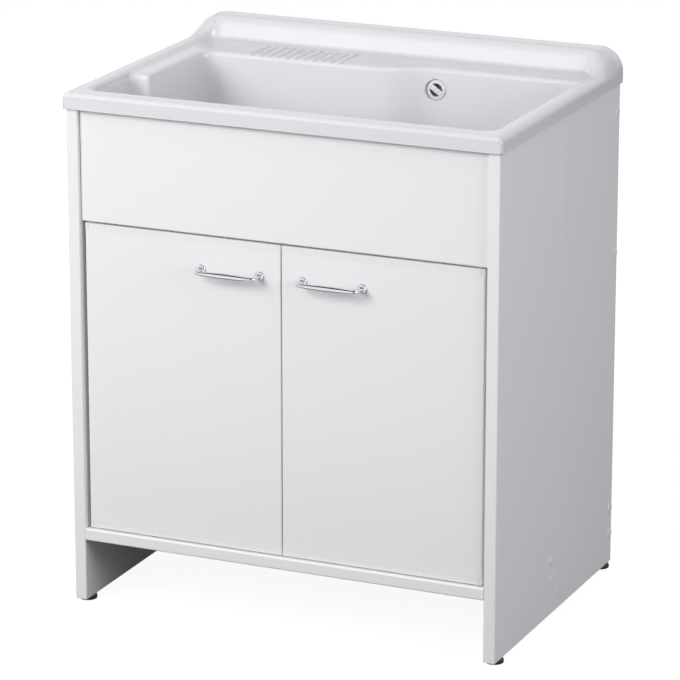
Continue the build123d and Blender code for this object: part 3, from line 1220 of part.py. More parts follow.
save(fascia(), "fascia")
save(bottom_board(0, tongue=False, groove=True), "bottom_front_board")
save(bottom_board(BOARD_DEPTH, tongue=True, groove=False), "bottom_rear_board")
save(rail(TOP_RAIL_Z, TOP_RAIL_HEIGHT, wall_holes=True), "rear_top_rail")
save(rail(MIDDLE_RAIL_Z, RAIL_HEIGHT), "rear_middle_rail")
save(rail(LOW_RAIL_Z, RAIL_HEIGHT), "rear_bottom_rail")
spots = bracket_screw_spots() + bracket_side_spots() + catch_screw_spots() + cleat_screw_spots()
save(together([spot * screw(SCREW_LENGTH) for spot in spots]), "bracket_screws")

save(overflow_rosette(), "overflow_rosette")
save(overflow_screw(), "overflow_screw")
save(overflow_gasket(), "overflow_gasket")
save(overflow_elbow(), "overflow_elbow")
save(overflow_pipe(), "overflow_pipe")
save(drain_strainer(), "drain_strainer")
save(drain_screw(), "drain_screw")
save(drain_gasket(), "drain_gasket")
save(drain_body(), "drain_body")
save(drain_nut(), "drain_nut")
save(trap_inlet_pipe(), "trap_inlet_pipe")
save(trap_inlet_nut(), "trap_inlet_nut")
save(trap_body(), "trap_body")
save(trap_outlet_nut(), "trap_outlet_nut")
save(trap_cup(), "trap_cup")
save(outlet_pipe(), "outlet_pipe")
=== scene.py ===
import math

import bpy
import bmesh
import numpy as np
from mathutils import Matrix, Vector


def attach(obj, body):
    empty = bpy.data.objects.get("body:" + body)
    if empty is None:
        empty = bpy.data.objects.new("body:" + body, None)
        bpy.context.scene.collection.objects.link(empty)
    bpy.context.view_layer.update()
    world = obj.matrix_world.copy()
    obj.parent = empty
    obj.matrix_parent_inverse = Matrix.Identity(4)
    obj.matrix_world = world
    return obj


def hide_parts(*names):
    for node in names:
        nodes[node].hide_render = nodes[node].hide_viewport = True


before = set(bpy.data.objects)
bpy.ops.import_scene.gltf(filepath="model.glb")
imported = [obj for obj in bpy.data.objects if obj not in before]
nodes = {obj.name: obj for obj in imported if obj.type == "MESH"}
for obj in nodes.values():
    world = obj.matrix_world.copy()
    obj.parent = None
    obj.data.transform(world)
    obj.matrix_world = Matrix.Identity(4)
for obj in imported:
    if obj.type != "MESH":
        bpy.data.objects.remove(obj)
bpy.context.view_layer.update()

# ------------------------------------------------------------------ sizes in mm
# Places and main sizes are the solids' own. Some edge rounds are the scene's, and notes name the other
# differences.
FRONT_Y = -254.0
DOOR_Y = FRONT_Y + 8.0
DRAFT = math.tan(math.radians(3.0))

# basin: x from the middle, y from the cabinet's front, z from the ground
HALF_WIDTH = 375.0
FRONT = -6.0
REAR = 530.0
RIM = 859.0
SKIRT = 831.0
WALL = 4.0
SIDE_ROUND = 12.0  # the solid has 8
FRONT_ROUND = 8.0
REAR_ROUND = 4.0

# raised back
RAISE = 31.0
RAISE_START = 440.0
RAISE_RUN = 62.0
RAISE_ROUND = 28.0

# recess inside the rim, its leaning rear face, and the deck
INNER_HALF = 344.0
INNER_FRONT = 31.5
INNER_ROUND = 11.0
RECESS_CORNER = 20.0
LEAN_FOOT = 478.0
LEAN_RUN, LEAN_RISE = 14.0, 37.0
LEAN_CORNER = 22.0
DECK = 853.0
DECK_FOOT = 5.0
GROOVES = 11
PITCH = 16.0
GROOVE_MIDDLE = -145.0
GROOVE_START = 366.0
GROOVE_END = 460.0
GROOVE_R = 4.0
GROOVE_LIFT = 1.6
GROOVE_EDGE = 1.6

# well and bay, which a 45 degree bend joins
FLOOR = 655.0
FLOOR_ROUND = 18.0
DISH = 4.0
DISH_R = 140.0
DISH_RUN = 104.0
WELL_LEFT = -312.0
WELL_BACK = 386.0
BAY_BACK = 419.0
BEND_X = 64.0
BEND_ROUND = 20.0
BEND_MIDDLE = (46.0, 398.0)
WELL_CORNER = 30.0
WELL_FRONT_CORNER = 22.0
WELL_EDGE = 8.0

# washboard pocket
POCKET_BACK = 178.0
POCKET_RIGHT = -240.0
POCKET_DEPTH = 74.0
POCKET_CORNER = 18.0
POCKET_FLOOR_ROUND = 12.0
POCKET_EDGE = 8.0

# drain cup and overflow seat
DRAIN = (92.0, 212.0)
DRAIN_HOLE_R = 24.0
CUP_R = 35.4
CUP_Z = 649.0
OVERFLOW = (92.0, 816.0)
OVERFLOW_HOLE_R = 13.0
SEAT_R = 17.6  # drawn close to the scene's own ring
SEAT_Y = BAY_BACK - 43.0 * DRAFT + 19.0 * DRAFT + 0.3
SEAT_EDGE = 0.8
BOSS_R = 23.0
BOSS_T = 3.0

# space under the raised back, open to the rear
BEHIND_HALF = 371.0
BEHIND_Y = 495.0
BEHIND_Z = 855.0

# bow handles; the reach is to the bar's middle line, where the solid's bar has a radius of 4.4
HANDLE_POSTS = (37.0, 139.0)
HANDLE_Z = 591.0
HANDLE_REACH = 25.6
HANDLE_BEND = 9.0
WIRE_R = 3.2
BAR_SWELL = 1.8

# overflow ring; the solid's radius is 17
RING_R = 16.0
RING_HOLE_R = 11.0
BAR_TURN = -34.0
BAR_HALF_LENGTH = 12.0
BAR_HALF_WIDTH = 4.5

# meshing of the basin's skin
SLOPE_STEP = 0.02
RELAX_ROUNDS = 4
LONGEST_MOVE = 2.0
TINY = 1e-9


# ------------------------------------------------------------------ basin as a smooth moulded skin
def join_round(a, b, r):
    """Union of two fields, with an inner corner of radius r."""
    u = np.maximum(r - a, 0.0)
    v = np.maximum(r - b, 0.0)
    return np.maximum(r, np.minimum(a, b)) - np.sqrt(u * u + v * v)


def cut_round(a, b, r):
    """Common part of two fields, with an outer corner of radius r."""
    u = np.maximum(r + a, 0.0)
    v = np.maximum(r + b, 0.0)
    return np.minimum(-r, np.maximum(a, b)) + np.sqrt(u * u + v * v)


def smooth(t):
    """Step from 0 to 1 with level ends."""
    t = np.clip(t, 0.0, 1.0)
    return t * t * (3.0 - 2.0 * t)


def basin_field(x, y, z):
    """Signed distance to the basin's skin, negative inside it; y counts from the cabinet's front."""
    # outside: rim with the raised back
    t = np.clip((y - RAISE_START) / RAISE_RUN, 0.0, 1.0)
    ease = smooth(t)
    slope = RAISE * 6.0 * t * (1.0 - t) / RAISE_RUN
    top = (z - RIM - RAISE * ease) / np.sqrt(1.0 + slope * slope)
    ax = np.abs(x)
    rim = cut_round(ax - HALF_WIDTH, top, SIDE_ROUND + RAISE_ROUND * ease)
    rim = cut_round(rim, FRONT - y, FRONT_ROUND)
    outer = cut_round(rim, y - REAR, REAR_ROUND)
    edge = np.maximum(np.maximum(ax - HALF_WIDTH, FRONT - y), y - REAR)

    # recess inside the rim
    lean = (y - LEAN_FOOT - (z - DECK) * LEAN_RUN / LEAN_RISE) / math.hypot(1.0, LEAN_RUN / LEAN_RISE)
    recess = cut_round(cut_round(ax - INNER_HALF, INNER_FRONT - y, RECESS_CORNER), lean, LEAN_CORNER)
    rim = cut_round(outer, -recess, INNER_ROUND - 3.0 * ease)

    # well, bay and washboard pocket, all with the same draft k
    k = (RIM - z) * DRAFT
    near = INNER_FRONT - y + k
    slant = ((y - BAY_BACK) - (x - BEND_X)) * math.sqrt(0.5) + k
    back = join_round(y - WELL_BACK + k, cut_round(y - BAY_BACK + k, slant, WELL_CORNER), BEND_ROUND)
    away = np.hypot(x - DRAIN[0], y - DRAIN[1])
    floor = FLOOR - DISH * smooth((DISH_R - away) / DISH_RUN) - z
    well = cut_round(np.maximum(x - INNER_HALF + k, WELL_LEFT - x + k), back, WELL_CORNER)
    well = cut_round(well, floor, FLOOR_ROUND)
    pocket = cut_round(-INNER_HALF - x + k, y - POCKET_BACK + k, POCKET_CORNER)
    pocket = cut_round(pocket, RIM - POCKET_DEPTH - z, POCKET_FLOOR_ROUND)
    pocket = np.maximum(pocket, x - POCKET_RIGHT)
    well = join_round(well, pocket, POCKET_EDGE)
    well = cut_round(well, near, WELL_FRONT_CORNER)

    # deck; the round at its foot fades out towards the well's edge and the outer edge
    deck = np.maximum(cut_round(z - DECK, -well, WELL_EDGE), outer)
    foot = DECK_FOOT * np.clip((well - recess) / 12.0, 0.0, 1.0) * np.clip((-2.0 - edge) / 8.0, 0.0, 1.0)
    body = join_round(rim, deck, foot)

    # grooves: rods sunk in the deck, with a ball at the rear end; in front of their start they are far away
    index = np.clip(np.round((x - GROOVE_MIDDLE) / PITCH), -(GROOVES // 2), GROOVES // 2)
    dx = x - GROOVE_MIDDLE - index * PITCH
    rise = z - DECK - GROOVE_LIFT
    groove = np.sqrt(dx * dx + rise ** 2 + np.maximum(y - GROOVE_END, 0.0) ** 2) - GROOVE_R
    groove = np.where(y > GROOVE_START, groove, 9.0)
    body = cut_round(body, -groove, GROOVE_EDGE)

    # overflow seat and drain cup
    ring = np.hypot(x - OVERFLOW[0], z - OVERFLOW[1])
    pit = np.maximum(ring - SEAT_R, y - SEAT_Y)
    body = cut_round(body, -np.maximum(pit, 395.0 - y), SEAT_EDGE)
    cup = np.maximum(away - CUP_R, CUP_Z - z)
    body = cut_round(body, -cup, SEAT_EDGE)

    # the field is steep where the bend's two faces meet, so the wall gets its full thickness back there
    bend = np.clip(1.6 - np.hypot(x - BEND_MIDDLE[0], y - BEND_MIDDLE[1]) / 32.0, 0.0, 1.0)
    skin = np.maximum(body, -body - WALL - 1.7 * bend)

    # boss behind the seat, the two holes, the lower edge of the skirt and the space under the raised back
    boss = np.maximum(ring - BOSS_R, np.abs(y - SEAT_Y - BOSS_T) - BOSS_T)
    skin = np.minimum(skin, np.maximum(boss, -body - 60.0))
    skin = np.maximum(skin, -np.maximum(ring - OVERFLOW_HOLE_R, np.abs(y - 420.0) - 25.0))
    skin = np.maximum(skin, -np.maximum(away - DRAIN_HOLE_R, np.abs(z - 648.0) - 15.0))
    skin = np.maximum(skin, np.minimum(SKIRT - z, recess - 12.0))
    behind = np.maximum(np.maximum(ax - BEHIND_HALF, BEHIND_Y - y), z - BEHIND_Z)
    return np.maximum(skin, -behind)


def grid_lines(spans):
    """Grid lines for spans of (start, end, step), each cut into equal steps."""
    out = [spans[0][0]]
    for start, end, step in spans:
        count = max(1, int(round((end - start) / step)))
        out += [start + (end - start) * (i + 1) / count for i in range(count)]
    return np.array(out, dtype=np.float64)


def slope_of(field, p, h=SLOPE_STEP):
    """Gradient of a field at points, by central differences."""
    out = np.empty_like(p)
    for d in range(3):
        q = p.copy()
        q[:, d] += h
        up = field(q[:, 0], q[:, 1], q[:, 2])
        q[:, d] -= 2 * h
        out[:, d] = (up - field(q[:, 0], q[:, 1], q[:, 2])) / (2 * h)
    return out


def skin_mesh(field, xs, ys, zs):
    """Surface of a field on a grid: one point in each crossed cell, then drawn onto the true surface."""
    nx, ny, nz = len(xs), len(ys), len(zs)
    values = np.empty((nx, ny, nz), np.float32)
    yy, zz = np.meshgrid(ys, zs, indexing="ij")
    for i in range(nx):
        values[i] = field(np.full_like(yy, xs[i]), yy, zz)
    inside = values < 0.0
    total = np.zeros((nx - 1, ny - 1, nz - 1, 3), np.float32)
    count = np.zeros((nx - 1, ny - 1, nz - 1), np.float32)
    axes = (xs, ys, zs)
    crossings = []
    for axis in range(3):
        lo = [slice(None)] * 3
        hi = [slice(None)] * 3
        lo[axis] = slice(0, -1)
        hi[axis] = slice(1, None)
        a, b = values[tuple(lo)], values[tuple(hi)]
        sa, sb = inside[tuple(lo)], inside[tuple(hi)]
        idx = np.argwhere(sa != sb)
        va = a[idx[:, 0], idx[:, 1], idx[:, 2]]
        vb = b[idx[:, 0], idx[:, 1], idx[:, 2]]
        t = va / (va - vb)
        pos = np.stack([axes[d][idx[:, d]] for d in range(3)], axis=1)
        step = axes[axis][idx[:, axis] + 1] - axes[axis][idx[:, axis]]
        pos[:, axis] += t * step
        flip = sa[idx[:, 0], idx[:, 1], idx[:, 2]]
        u, v = [d for d in range(3) if d != axis]
        cells = []
        for du, dv in ((-1, -1), (0, -1), (0, 0), (-1, 0)):
            c = idx.copy()
            c[:, u] += du
            c[:, v] += dv
            cells.append(c)
            ok = np.all((c >= 0) & (c < np.array([nx - 1, ny - 1, nz - 1])), axis=1)
            np.add.at(total, (c[ok, 0], c[ok, 1], c[ok, 2]), pos[ok])
            np.add.at(count, (c[ok, 0], c[ok, 1], c[ok, 2]), 1.0)
        crossings.append((cells, flip, axis))
    used = count > 0
    number = np.full(used.shape, -1, np.int64)
    number[used] = np.arange(int(used.sum()))
    points = (total[used] / count[used][:, None]).astype(np.float64)
    quads = []
    for cells, flip, axis in crossings:
        ring = np.stack([number[c[:, 0], c[:, 1], c[:, 2]] for c in cells], axis=1)
        back = flip if axis != 1 else ~flip
        ring[~back] = ring[~back][:, ::-1]
        quads.append(ring[np.all(ring >= 0, axis=1)])
    quads = np.concatenate(quads)
    for _ in range(RELAX_ROUNDS):
        f = field(points[:, 0], points[:, 1], points[:, 2])
        g = slope_of(field, points)
        size = np.maximum(np.sum(g * g, axis=1), 0.25)
        move = (f / size)[:, None] * g
        reach = np.linalg.norm(move, axis=1)
        points -= move * np.minimum(1.0, LONGEST_MOVE / np.maximum(reach, TINY))[:, None]
    return points, quads, slope_of(field, points)


def link_object(name, data):
    ob = bpy.data.objects.new(name, data)
    bpy.context.scene.collection.objects.link(ob)
    return ob


def mesh_object(name, points, faces):
    """Smooth-shaded object from numpy points (mm, in the solids' frame) and quads."""
    me = bpy.data.meshes.new(name)
    me.vertices.add(len(points))
    me.vertices.foreach_set("co", (np.asarray(points) / 1000.0).astype(np.float32).ravel())
    faces = np.asarray(faces, np.int32)
    me.loops.add(faces.size)
    me.loops.foreach_set("vertex_index", faces.ravel())
    me.polygons.add(len(faces))
    me.polygons.foreach_set("loop_start", np.arange(0, faces.size, faces.shape[1], dtype=np.int32))
    me.update(calc_edges=True)
    me.validate()
    me.polygons.foreach_set("use_smooth", np.ones(len(me.polygons), bool))
    return link_object(name, me)


def make_basin():
    """Basin skin on a grid that is fine where the surface bends and coarse along the plain walls."""
    fine = 2.0
    rough = 6.0
    xs = grid_lines([(-378, -258, fine), (-258, -234, rough), (-234, -56, fine), (-56, 4, rough),
                     (4, 130, fine), (130, 292, rough), (292, 378, fine)])
    ys = grid_lines([(-9, 67, fine), (67, 145, rough), (145, 251, fine), (251, 335, rough), (335, 535, fine)])
    zs = grid_lines([(635, 685, fine), (685, 769, rough), (769, 893, fine)])
    points, quads, normals = skin_mesh(basin_field, xs, ys, zs)
    points[:, 1] += FRONT_Y
    ob = mesh_object("basin_skin", points, quads)
    length = np.linalg.norm(normals, axis=1)
    normals /= np.maximum(length, TINY)[:, None]
    if len(ob.data.vertices) == len(normals):
        ob.data.normals_split_custom_set_from_vertices(normals.astype(np.float32))
    return ob


# ------------------------------------------------------------------ small turned and bent pieces
def bm_object(name, bm, smooth_faces=True):
    """Object from a bmesh, with its normals turned outward."""
    bmesh.ops.recalc_face_normals(bm, faces=bm.faces)
    me = bpy.data.meshes.new(name)
    bm.to_mesh(me)
    bm.free()
    if smooth_faces:
        me.polygons.foreach_set("use_smooth", np.ones(len(me.polygons), bool))
    return link_object(name, me)


def merge_doubles(bm):
    bmesh.ops.remove_doubles(bm, verts=bm.verts, dist=1e-6)


def lathe(bm, profile, place, steps):
    """Closed profile of (radius, height) in mm, turned about place's Z axis."""
    rings = []
    for r, h in profile:
        ring = []
        for s in range(steps):
            a = 2 * math.pi * s / steps
            spot = Vector((r * math.cos(a), r * math.sin(a), h)) / 1000.0
            ring.append(bm.verts.new(place @ spot))
        rings.append(ring)
    join_rings(bm, rings)
    merge_doubles(bm)


def join_rings(bm, rings, capped=False):
    """Faces between rings of equal count, the first of which may be one point."""
    for a, b in zip(rings, rings[1:]):
        for s in range(len(b)):
            t = (s + 1) % len(b)
            if len(a) == 1:
                bm.faces.new((a[0], b[s], b[t]))
            else:
                bm.faces.new((a[s], b[s], b[t], a[t]))
    if capped:
        bm.faces.new(rings[0])
        bm.faces.new(list(reversed(rings[-1])))


def arc(cx, cy, r, a0, a1, n):
    """Points of an arc from angle a0 to a1 in degrees, in n steps."""
    return [(cx + r * math.cos(math.radians(a0 + (a1 - a0) * i / n)),
             cy + r * math.sin(math.radians(a0 + (a1 - a0) * i / n))) for i in range(n + 1)]


def frame_at(x, y, z, up):
    """Matrix whose Z axis points along up, at a place given in mm in the solids' frame."""
    m = Vector(up).to_track_quat("Z", "Y").to_matrix().to_4x4()
    return Matrix.Translation((x / 1000.0, y / 1000.0, z / 1000.0)) @ m


def handle_piece(side):
    """Bow handle swept along its own line, swelling in the middle of the bar."""
    word = "right" if side > 0 else "left"
    bm = bmesh.new()
    half = (HANDLE_POSTS[1] - HANDLE_POSTS[0]) / 2
    bar_half = half - HANDLE_BEND
    post = HANDLE_REACH - HANDLE_BEND
    line = []
    for y in np.linspace(0.2, post, 8)[:-1]:
        line.append((-half, -y, WIRE_R))
    for px, py in arc(-bar_half, post, HANDLE_BEND, 180, 90, 14):
        line.append((px, -py, WIRE_R))
    for x in np.linspace(-bar_half, bar_half, 41)[1:-1]:
        s = abs(x) / bar_half
        line.append((x, -HANDLE_REACH, WIRE_R + BAR_SWELL * (1 - s * s)))
    for px, py in arc(bar_half, post, HANDLE_BEND, 90, 0, 14):
        line.append((px, -py, WIRE_R))
    for y in np.linspace(post, 0.2, 8)[1:]:
        line.append((half, -y, WIRE_R))
    base = Vector((side * (HANDLE_POSTS[0] + half), DOOR_Y, HANDLE_Z))
    rings = []
    count = 32
    for i, (x, y, r) in enumerate(line):
        a = line[max(i - 1, 0)]
        b = line[min(i + 1, len(line) - 1)]
        t = Vector((b[0] - a[0], b[1] - a[1], 0)).normalized()
        n = Vector((t.y, -t.x, 0))
        ring = []
        for s in range(count):
            w = 2 * math.pi * s / count
            p = base + Vector((x, y, 0)) + n * (r * math.cos(w)) + Vector((0, 0, r * math.sin(w)))
            ring.append(bm.verts.new(p / 1000.0))
        rings.append(ring)
    join_rings(bm, rings, capped=True)
    return bm_object(f"{word}_bow_handle", bm)


def rosette_piece(side):
    """The two turned rosettes under one handle, each with a low collar round its post."""
    word = "right" if side > 0 else "left"
    bm = bmesh.new()
    profile = [(3.3, 0.02), (8.0, 0.02), (8.0, 1.2)]
    profile += arc(6.1, 1.3, 1.9, 0, 90, 8)
    profile += [(5.0, 3.3), (4.6, 3.9), (3.9, 4.0), (3.3, 3.7)]
    profile.append(profile[0])
    for post in HANDLE_POSTS:
        lathe(bm, profile, frame_at(side * post, DOOR_Y, HANDLE_Z, (0, -1, 0)), 48)
    return bm_object(f"{word}_handle_rosettes", bm)


def overflow_piece():
    """Ring with a rounded face and a slanting bar whose ends run into it."""
    place = frame_at(OVERFLOW[0], FRONT_Y + SEAT_Y, OVERFLOW[1], (0, -1, 0))
    bm = bmesh.new()
    profile = [(RING_HOLE_R, 0.05), (RING_R - 0.1, 0.05), (RING_R, 0.9)]
    profile += arc(RING_R - 2.0, 1.0, 2.0, 0, 90, 8) + [(12.4, 3.0)]
    profile += arc(RING_HOLE_R + 1.0, 2.0, 1.0, 90, 180, 6) + [(RING_HOLE_R, 0.05)]
    lathe(bm, profile, place, 72)
    # bar: a rounded section along its own length, a little higher in the middle
    turn = Matrix.Rotation(math.radians(BAR_TURN), 4, "Z")
    w = BAR_HALF_WIDTH
    section = [(-w, 0.6), (w, 0.6), (w, 1.8)]
    section += arc(w - 1.2, 1.8, 1.2, 0, 90, 5) + arc(1.2 - w, 1.8, 1.2, 90, 180, 5)
    rings = []
    for s in np.linspace(-1, 1, 17):
        lift = 0.5 * (1 - s * s)
        ring = []
        for v, h in section:
            spot = Vector((BAR_HALF_LENGTH * s, v, h + (lift if h > 1 else 0))) / 1000.0
            ring.append(bm.verts.new(place @ turn @ spot))
        rings.append(ring)
    join_rings(bm, rings, capped=True)
    merge_doubles(bm)
    ring_ob = bm_object("overflow_ring", bm)
    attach(ring_ob, "cabinet")
    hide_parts("overflow_rosette")
    return ring_ob


# ------------------------------------------------------------------ materials
def node_material(name, color, rough, metallic, coat):
    m = bpy.data.materials.new(name)
    m.use_nodes = True
    nt = m.node_tree
    nt.nodes.clear()
    out = nt.nodes.new("ShaderNodeOutputMaterial")
    b = nt.nodes.new("ShaderNodeBsdfPrincipled")
    b.inputs["Base Color"].default_value = (*color, 1.0)
    b.inputs["Roughness"].default_value = rough
    b.inputs["Metallic"].default_value = metallic
    b.inputs["Coat Weight"].default_value = coat
    b.inputs["Coat Roughness"].default_value = 0.06
    nt.links.new(b.outputs["BSDF"], out.inputs["Surface"])
    coord = nt.nodes.new("ShaderNodeTexCoord")
    return m, nt, b, coord


def math_node(nt, operation, *values):
    """Output of a math node; each value is a socket or a number."""
    n = nt.nodes.new("ShaderNodeMath")
    n.operation = operation
    for slot, value in enumerate(values):
        if isinstance(value, float):
            n.inputs[slot].default_value = value
        else:
            nt.links.new(value, n.inputs[slot])
    return n.outputs[0]


def noise(nt, coord, scale, detail):
    n = nt.nodes.new("ShaderNodeTexNoise")
    n.inputs["Scale"].default_value = scale
    n.inputs["Detail"].default_value = detail
    nt.links.new(coord.outputs["Object"], n.inputs["Vector"])
    return n.outputs["Fac"]


def ranged(nt, value, low, high, from_low=0.3, from_high=0.7):
    """Value carried from one range to another; the default range is the one that noise mostly fills."""
    n = nt.nodes.new("ShaderNodeMapRange")
    n.inputs["From Min"].default_value = from_low
    n.inputs["From Max"].default_value = from_high
    n.inputs["To Min"].default_value = low
    n.inputs["To Max"].default_value = high
    nt.links.new(value, n.inputs["Value"])
    return n.outputs["Result"]


def mixed(nt, fac, a, b):
    n = nt.nodes.new("ShaderNodeMix")
    n.data_type = "RGBA"
    n.inputs["A"].default_value = (*a, 1.0)
    n.inputs["B"].default_value = (*b, 1.0)
    nt.links.new(fac, n.inputs["Factor"])
    return n.outputs["Result"]


def bump(nt, b, height, distance, strength, under=None):
    n = nt.nodes.new("ShaderNodeBump")
    n.inputs["Strength"].default_value = strength
    n.inputs["Distance"].default_value = distance
    nt.links.new(height, n.inputs["Height"])
    if under is not None:
        nt.links.new(under, n.inputs["Normal"])
    nt.links.new(n.outputs["Normal"], b.inputs["Normal"])
    return n.outputs["Normal"]


def textured(name, color, rough, tone, gloss, relief, metallic=0.0, coat=0.0):
    """Material whose colour, gloss and surface vary a little.

    tone is (scale, detail, first colour, second colour), or (scale, first, second) for round cells;
    gloss is (scale, detail, lowest, highest roughness); relief is (scale, detail, depth in metres, strength).
    """
    m, nt, b, coord = node_material(name, color, rough, metallic, coat)
    if len(tone) == 3:
        cells = nt.nodes.new("ShaderNodeTexVoronoi")
        cells.inputs["Scale"].default_value = tone[0]
        nt.links.new(coord.outputs["Object"], cells.inputs["Vector"])
        share = cells.outputs["Distance"]
    else:
        share = ranged(nt, noise(nt, coord, *tone[:2]), 0.0, 1.0)
    nt.links.new(mixed(nt, share, *tone[-2:]), b.inputs["Base Color"])
    nt.links.new(ranged(nt, noise(nt, coord, *gloss[:2]), *gloss[2:]), b.inputs["Roughness"])
    bump(nt, b, noise(nt, coord, *relief[:2]), *relief[2:])
    return m


def darker(color, share):
    return tuple(c * share for c in color)


def board_material(name, color, axis, pitch):
    """Extruded hollow board: satin white with the inner webs, pitch mm apart, printing through very faintly."""
    m, nt, b, coord = node_material(name, color, 0.3, 0.0, 0.1)
    split = nt.nodes.new("ShaderNodeSeparateXYZ")
    nt.links.new(coord.outputs["Object"], split.inputs["Vector"])
    turn = math_node(nt, "MULTIPLY", split.outputs[axis], 2 * math.pi * 1000.0 / pitch)
    webs = ranged(nt, math_node(nt, "COSINE", turn), 0.0, 1.0, 0.55, 1.0)
    first = bump(nt, b, webs, 0.00004, 0.5)
    bump(nt, b, noise(nt, coord, 4.0, 1.0), 0.0008, 0.25, under=first)
    tone = ranged(nt, noise(nt, coord, 2.0, 1.0), 0.0, 1.0, 0.1, 0.9)
    nt.links.new(mixed(nt, tone, color, darker(color, 0.985)), b.inputs["Base Color"])
    nt.links.new(ranged(nt, noise(nt, coord, 9.0, 2.0), 0.27, 0.36, 0.1, 0.9), b.inputs["Roughness"])
    return m


def trim_material(name, color, rough=0.34, fine=140.0, depth=0.00002):
    """Moulded satin plastic with a fine grain."""
    return textured(name, color, rough, (6.0, 2.0, color, darker(color, 0.975)),
                    (60.0, 3.0, rough - 0.05, rough + 0.08), (fine, 2.0, depth, 0.5), coat=0.05)


WHITE = (0.812, 0.814, 0.824)
CHROME = (0.80, 0.81, 0.83)
SATIN = (0.86, 0.865, 0.88)
materials = {
    # moulded white plastic: very even colour, a soft gloss, faint moulding waves
    "basin": textured("moulded_white", (0.69, 0.682, 0.708), 0.16,
                      (5.0, 2.0, (0.68, 0.672, 0.70), (0.697, 0.69, 0.715)),
                      (30.0, 4.0, 0.13, 0.24), (7.0, 1.0, 0.0006, 0.35), coat=0.25),
    "side": board_material("side_board_white", WHITE, "Y", 32.0),
    "door": board_material("door_board_white", WHITE, "X", 32.9),
    "fascia": board_material("fascia_white", WHITE, "Z", 32.0),
    "flat": board_material("shelf_board_white", WHITE, "Y", 32.0),
    "trim": trim_material("trim_white", (0.80, 0.802, 0.81)),
    "cap": trim_material("end_cap_white", (0.79, 0.79, 0.80), 0.3),
    "bracket": trim_material("bracket_white", (0.74, 0.74, 0.74), 0.42, 300.0, 0.00006),
    "grey": trim_material("pipe_white", (0.68, 0.68, 0.69), 0.38, 260.0, 0.00006),
    # painted light: the elbow is much lighter than the pipes' plastic, standing in for bounce light inside the
    # overflow's bore
    "elbow": trim_material("elbow_lightened_as_painted_bounce", (0.88, 0.88, 0.89), 0.4, 150.0, 0.00005),
    "catch": trim_material("catch_brown_grey", (0.30, 0.30, 0.31), 0.45, 260.0, 0.00006),
    "black": trim_material("glide_black", (0.035, 0.035, 0.037), 0.5, 300.0, 0.00008),
    "rubber": textured("black_rubber", (0.03, 0.03, 0.03), 0.7,
                       (40.0, 4.0, (0.022, 0.022, 0.023), (0.05, 0.05, 0.05)),
                       (150.0, 3.0, 0.55, 0.8), (500.0, 3.0, 0.00008, 0.6)),
    "seal": trim_material("seal_grey", (0.55, 0.55, 0.56), 0.6, 150.0, 0.00006),
    "chrome": textured("polished_chrome", CHROME, 0.07, (25.0, 2.0, CHROME, (0.73, 0.74, 0.77)),
                       (90.0, 4.0, 0.04, 0.12), (60.0, 2.0, 0.00003, 0.3), metallic=1.0),
    # brighter and softer than the handles: plated plastic
    "satin": textured("satin_chrome", SATIN, 0.24, (60.0, 2.0, SATIN, (0.8, 0.805, 0.82)),
                      (120.0, 3.0, 0.2, 0.3), (150.0, 2.0, 0.00003, 0.3), metallic=0.3),
    "zinc": textured("zinc_steel", (0.55, 0.56, 0.58), 0.35, (260.0, (0.62, 0.63, 0.64), (0.45, 0.46, 0.48)),
                     (120.0, 3.0, 0.28, 0.45), (300.0, 3.0, 0.00004, 0.4), metallic=1.0),
}


LOOK_BY_NAME = {
    "basin": "basin",
    "bracket_screws": "zinc",
    "drain_gasket": "rubber",
    "drain_screw": "satin",
    "drain_strainer": "satin",
    "overflow_elbow": "elbow",
    "overflow_gasket": "seal",
    "overflow_rosette": "satin",
    "overflow_screw": "satin",
}
LOOK_BY_END = {
    "black": ("_feet",),
    "zinc": ("_side_screws", "_handle_screws", "_pivot_pins", "_strike_plate"),
    "chrome": ("_handle", "_rosettes"),
    "catch": ("_catch",),
    "bracket": ("_fascia_bracket", "_shelf_bracket", "_pivot_bushes"),
    "cap": ("_top_cap", "_bottom_cap"),
    "trim": ("_side_strip", "_screw_caps"),
    "door": ("_door_panel",),
    "side": ("_front_side", "_rear_side"),
}
LOOK_BY_START = {
    "grey": ("trap_", "outlet_", "drain_", "overflow_"),
    "flat": ("bottom_",),
}


def choose(name):
    """Key of a node's material: by its whole name, or by its end, or by its start."""
    if name in LOOK_BY_NAME:
        return LOOK_BY_NAME[name]
    for look, ends in LOOK_BY_END.items():
        if name.endswith(ends):
            return look
    for look, starts in LOOK_BY_START.items():
        if name.startswith(starts):
            return look
    return "fascia"


for name, ob in nodes.items():
    ob.data.materials.clear()
    ob.data.materials.append(materials[choose(name)])

basin = make_basin()
basin.data.materials.append(materials["basin"])
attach(basin, "cabinet")
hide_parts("basin")

for side in (-1, 1):
    word = "right" if side > 0 else "left"
    handle = handle_piece(side)
    handle.data.materials.append(materials["chrome"])
    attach(handle, f"{word}_door")
    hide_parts(f"{word}_handle")
    disc = rosette_piece(side)
    disc.data.materials.append(materials["chrome"])
    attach(disc, f"{word}_door")
    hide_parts(f"{word}_rosettes")

ring = overflow_piece()
ring.data.materials.append(materials["satin"])


# ------------------------------------------------------------------ stage, light and camera
FLOOR_GLOW = 0.93
FLOOR_Z = -0.0005
FLOOR_RINGS = (1.0, 2.0, 4.0, 9.0, 20.0, 60.0)
FLOOR_SIDES = 48
SKY_STRENGTH = 0.66
MIRROR_DARK = (0.06, 0.06, 0.065)
MIRROR_BRIGHT = (0.98, 0.99, 1.0)
SKY_LOW = (0.74, 0.755, 0.775)
SKY_HIGH = (0.84, 0.85, 0.87)
CAMERA_PLACE = (2.495, -5.653, 2.275)
CAMERA_DOWN = 16.68
CAMERA_TURN = 23.88
FOCAL_PX = 3949.0
PICTURE_PX = 680.0
SENSOR = 36.0


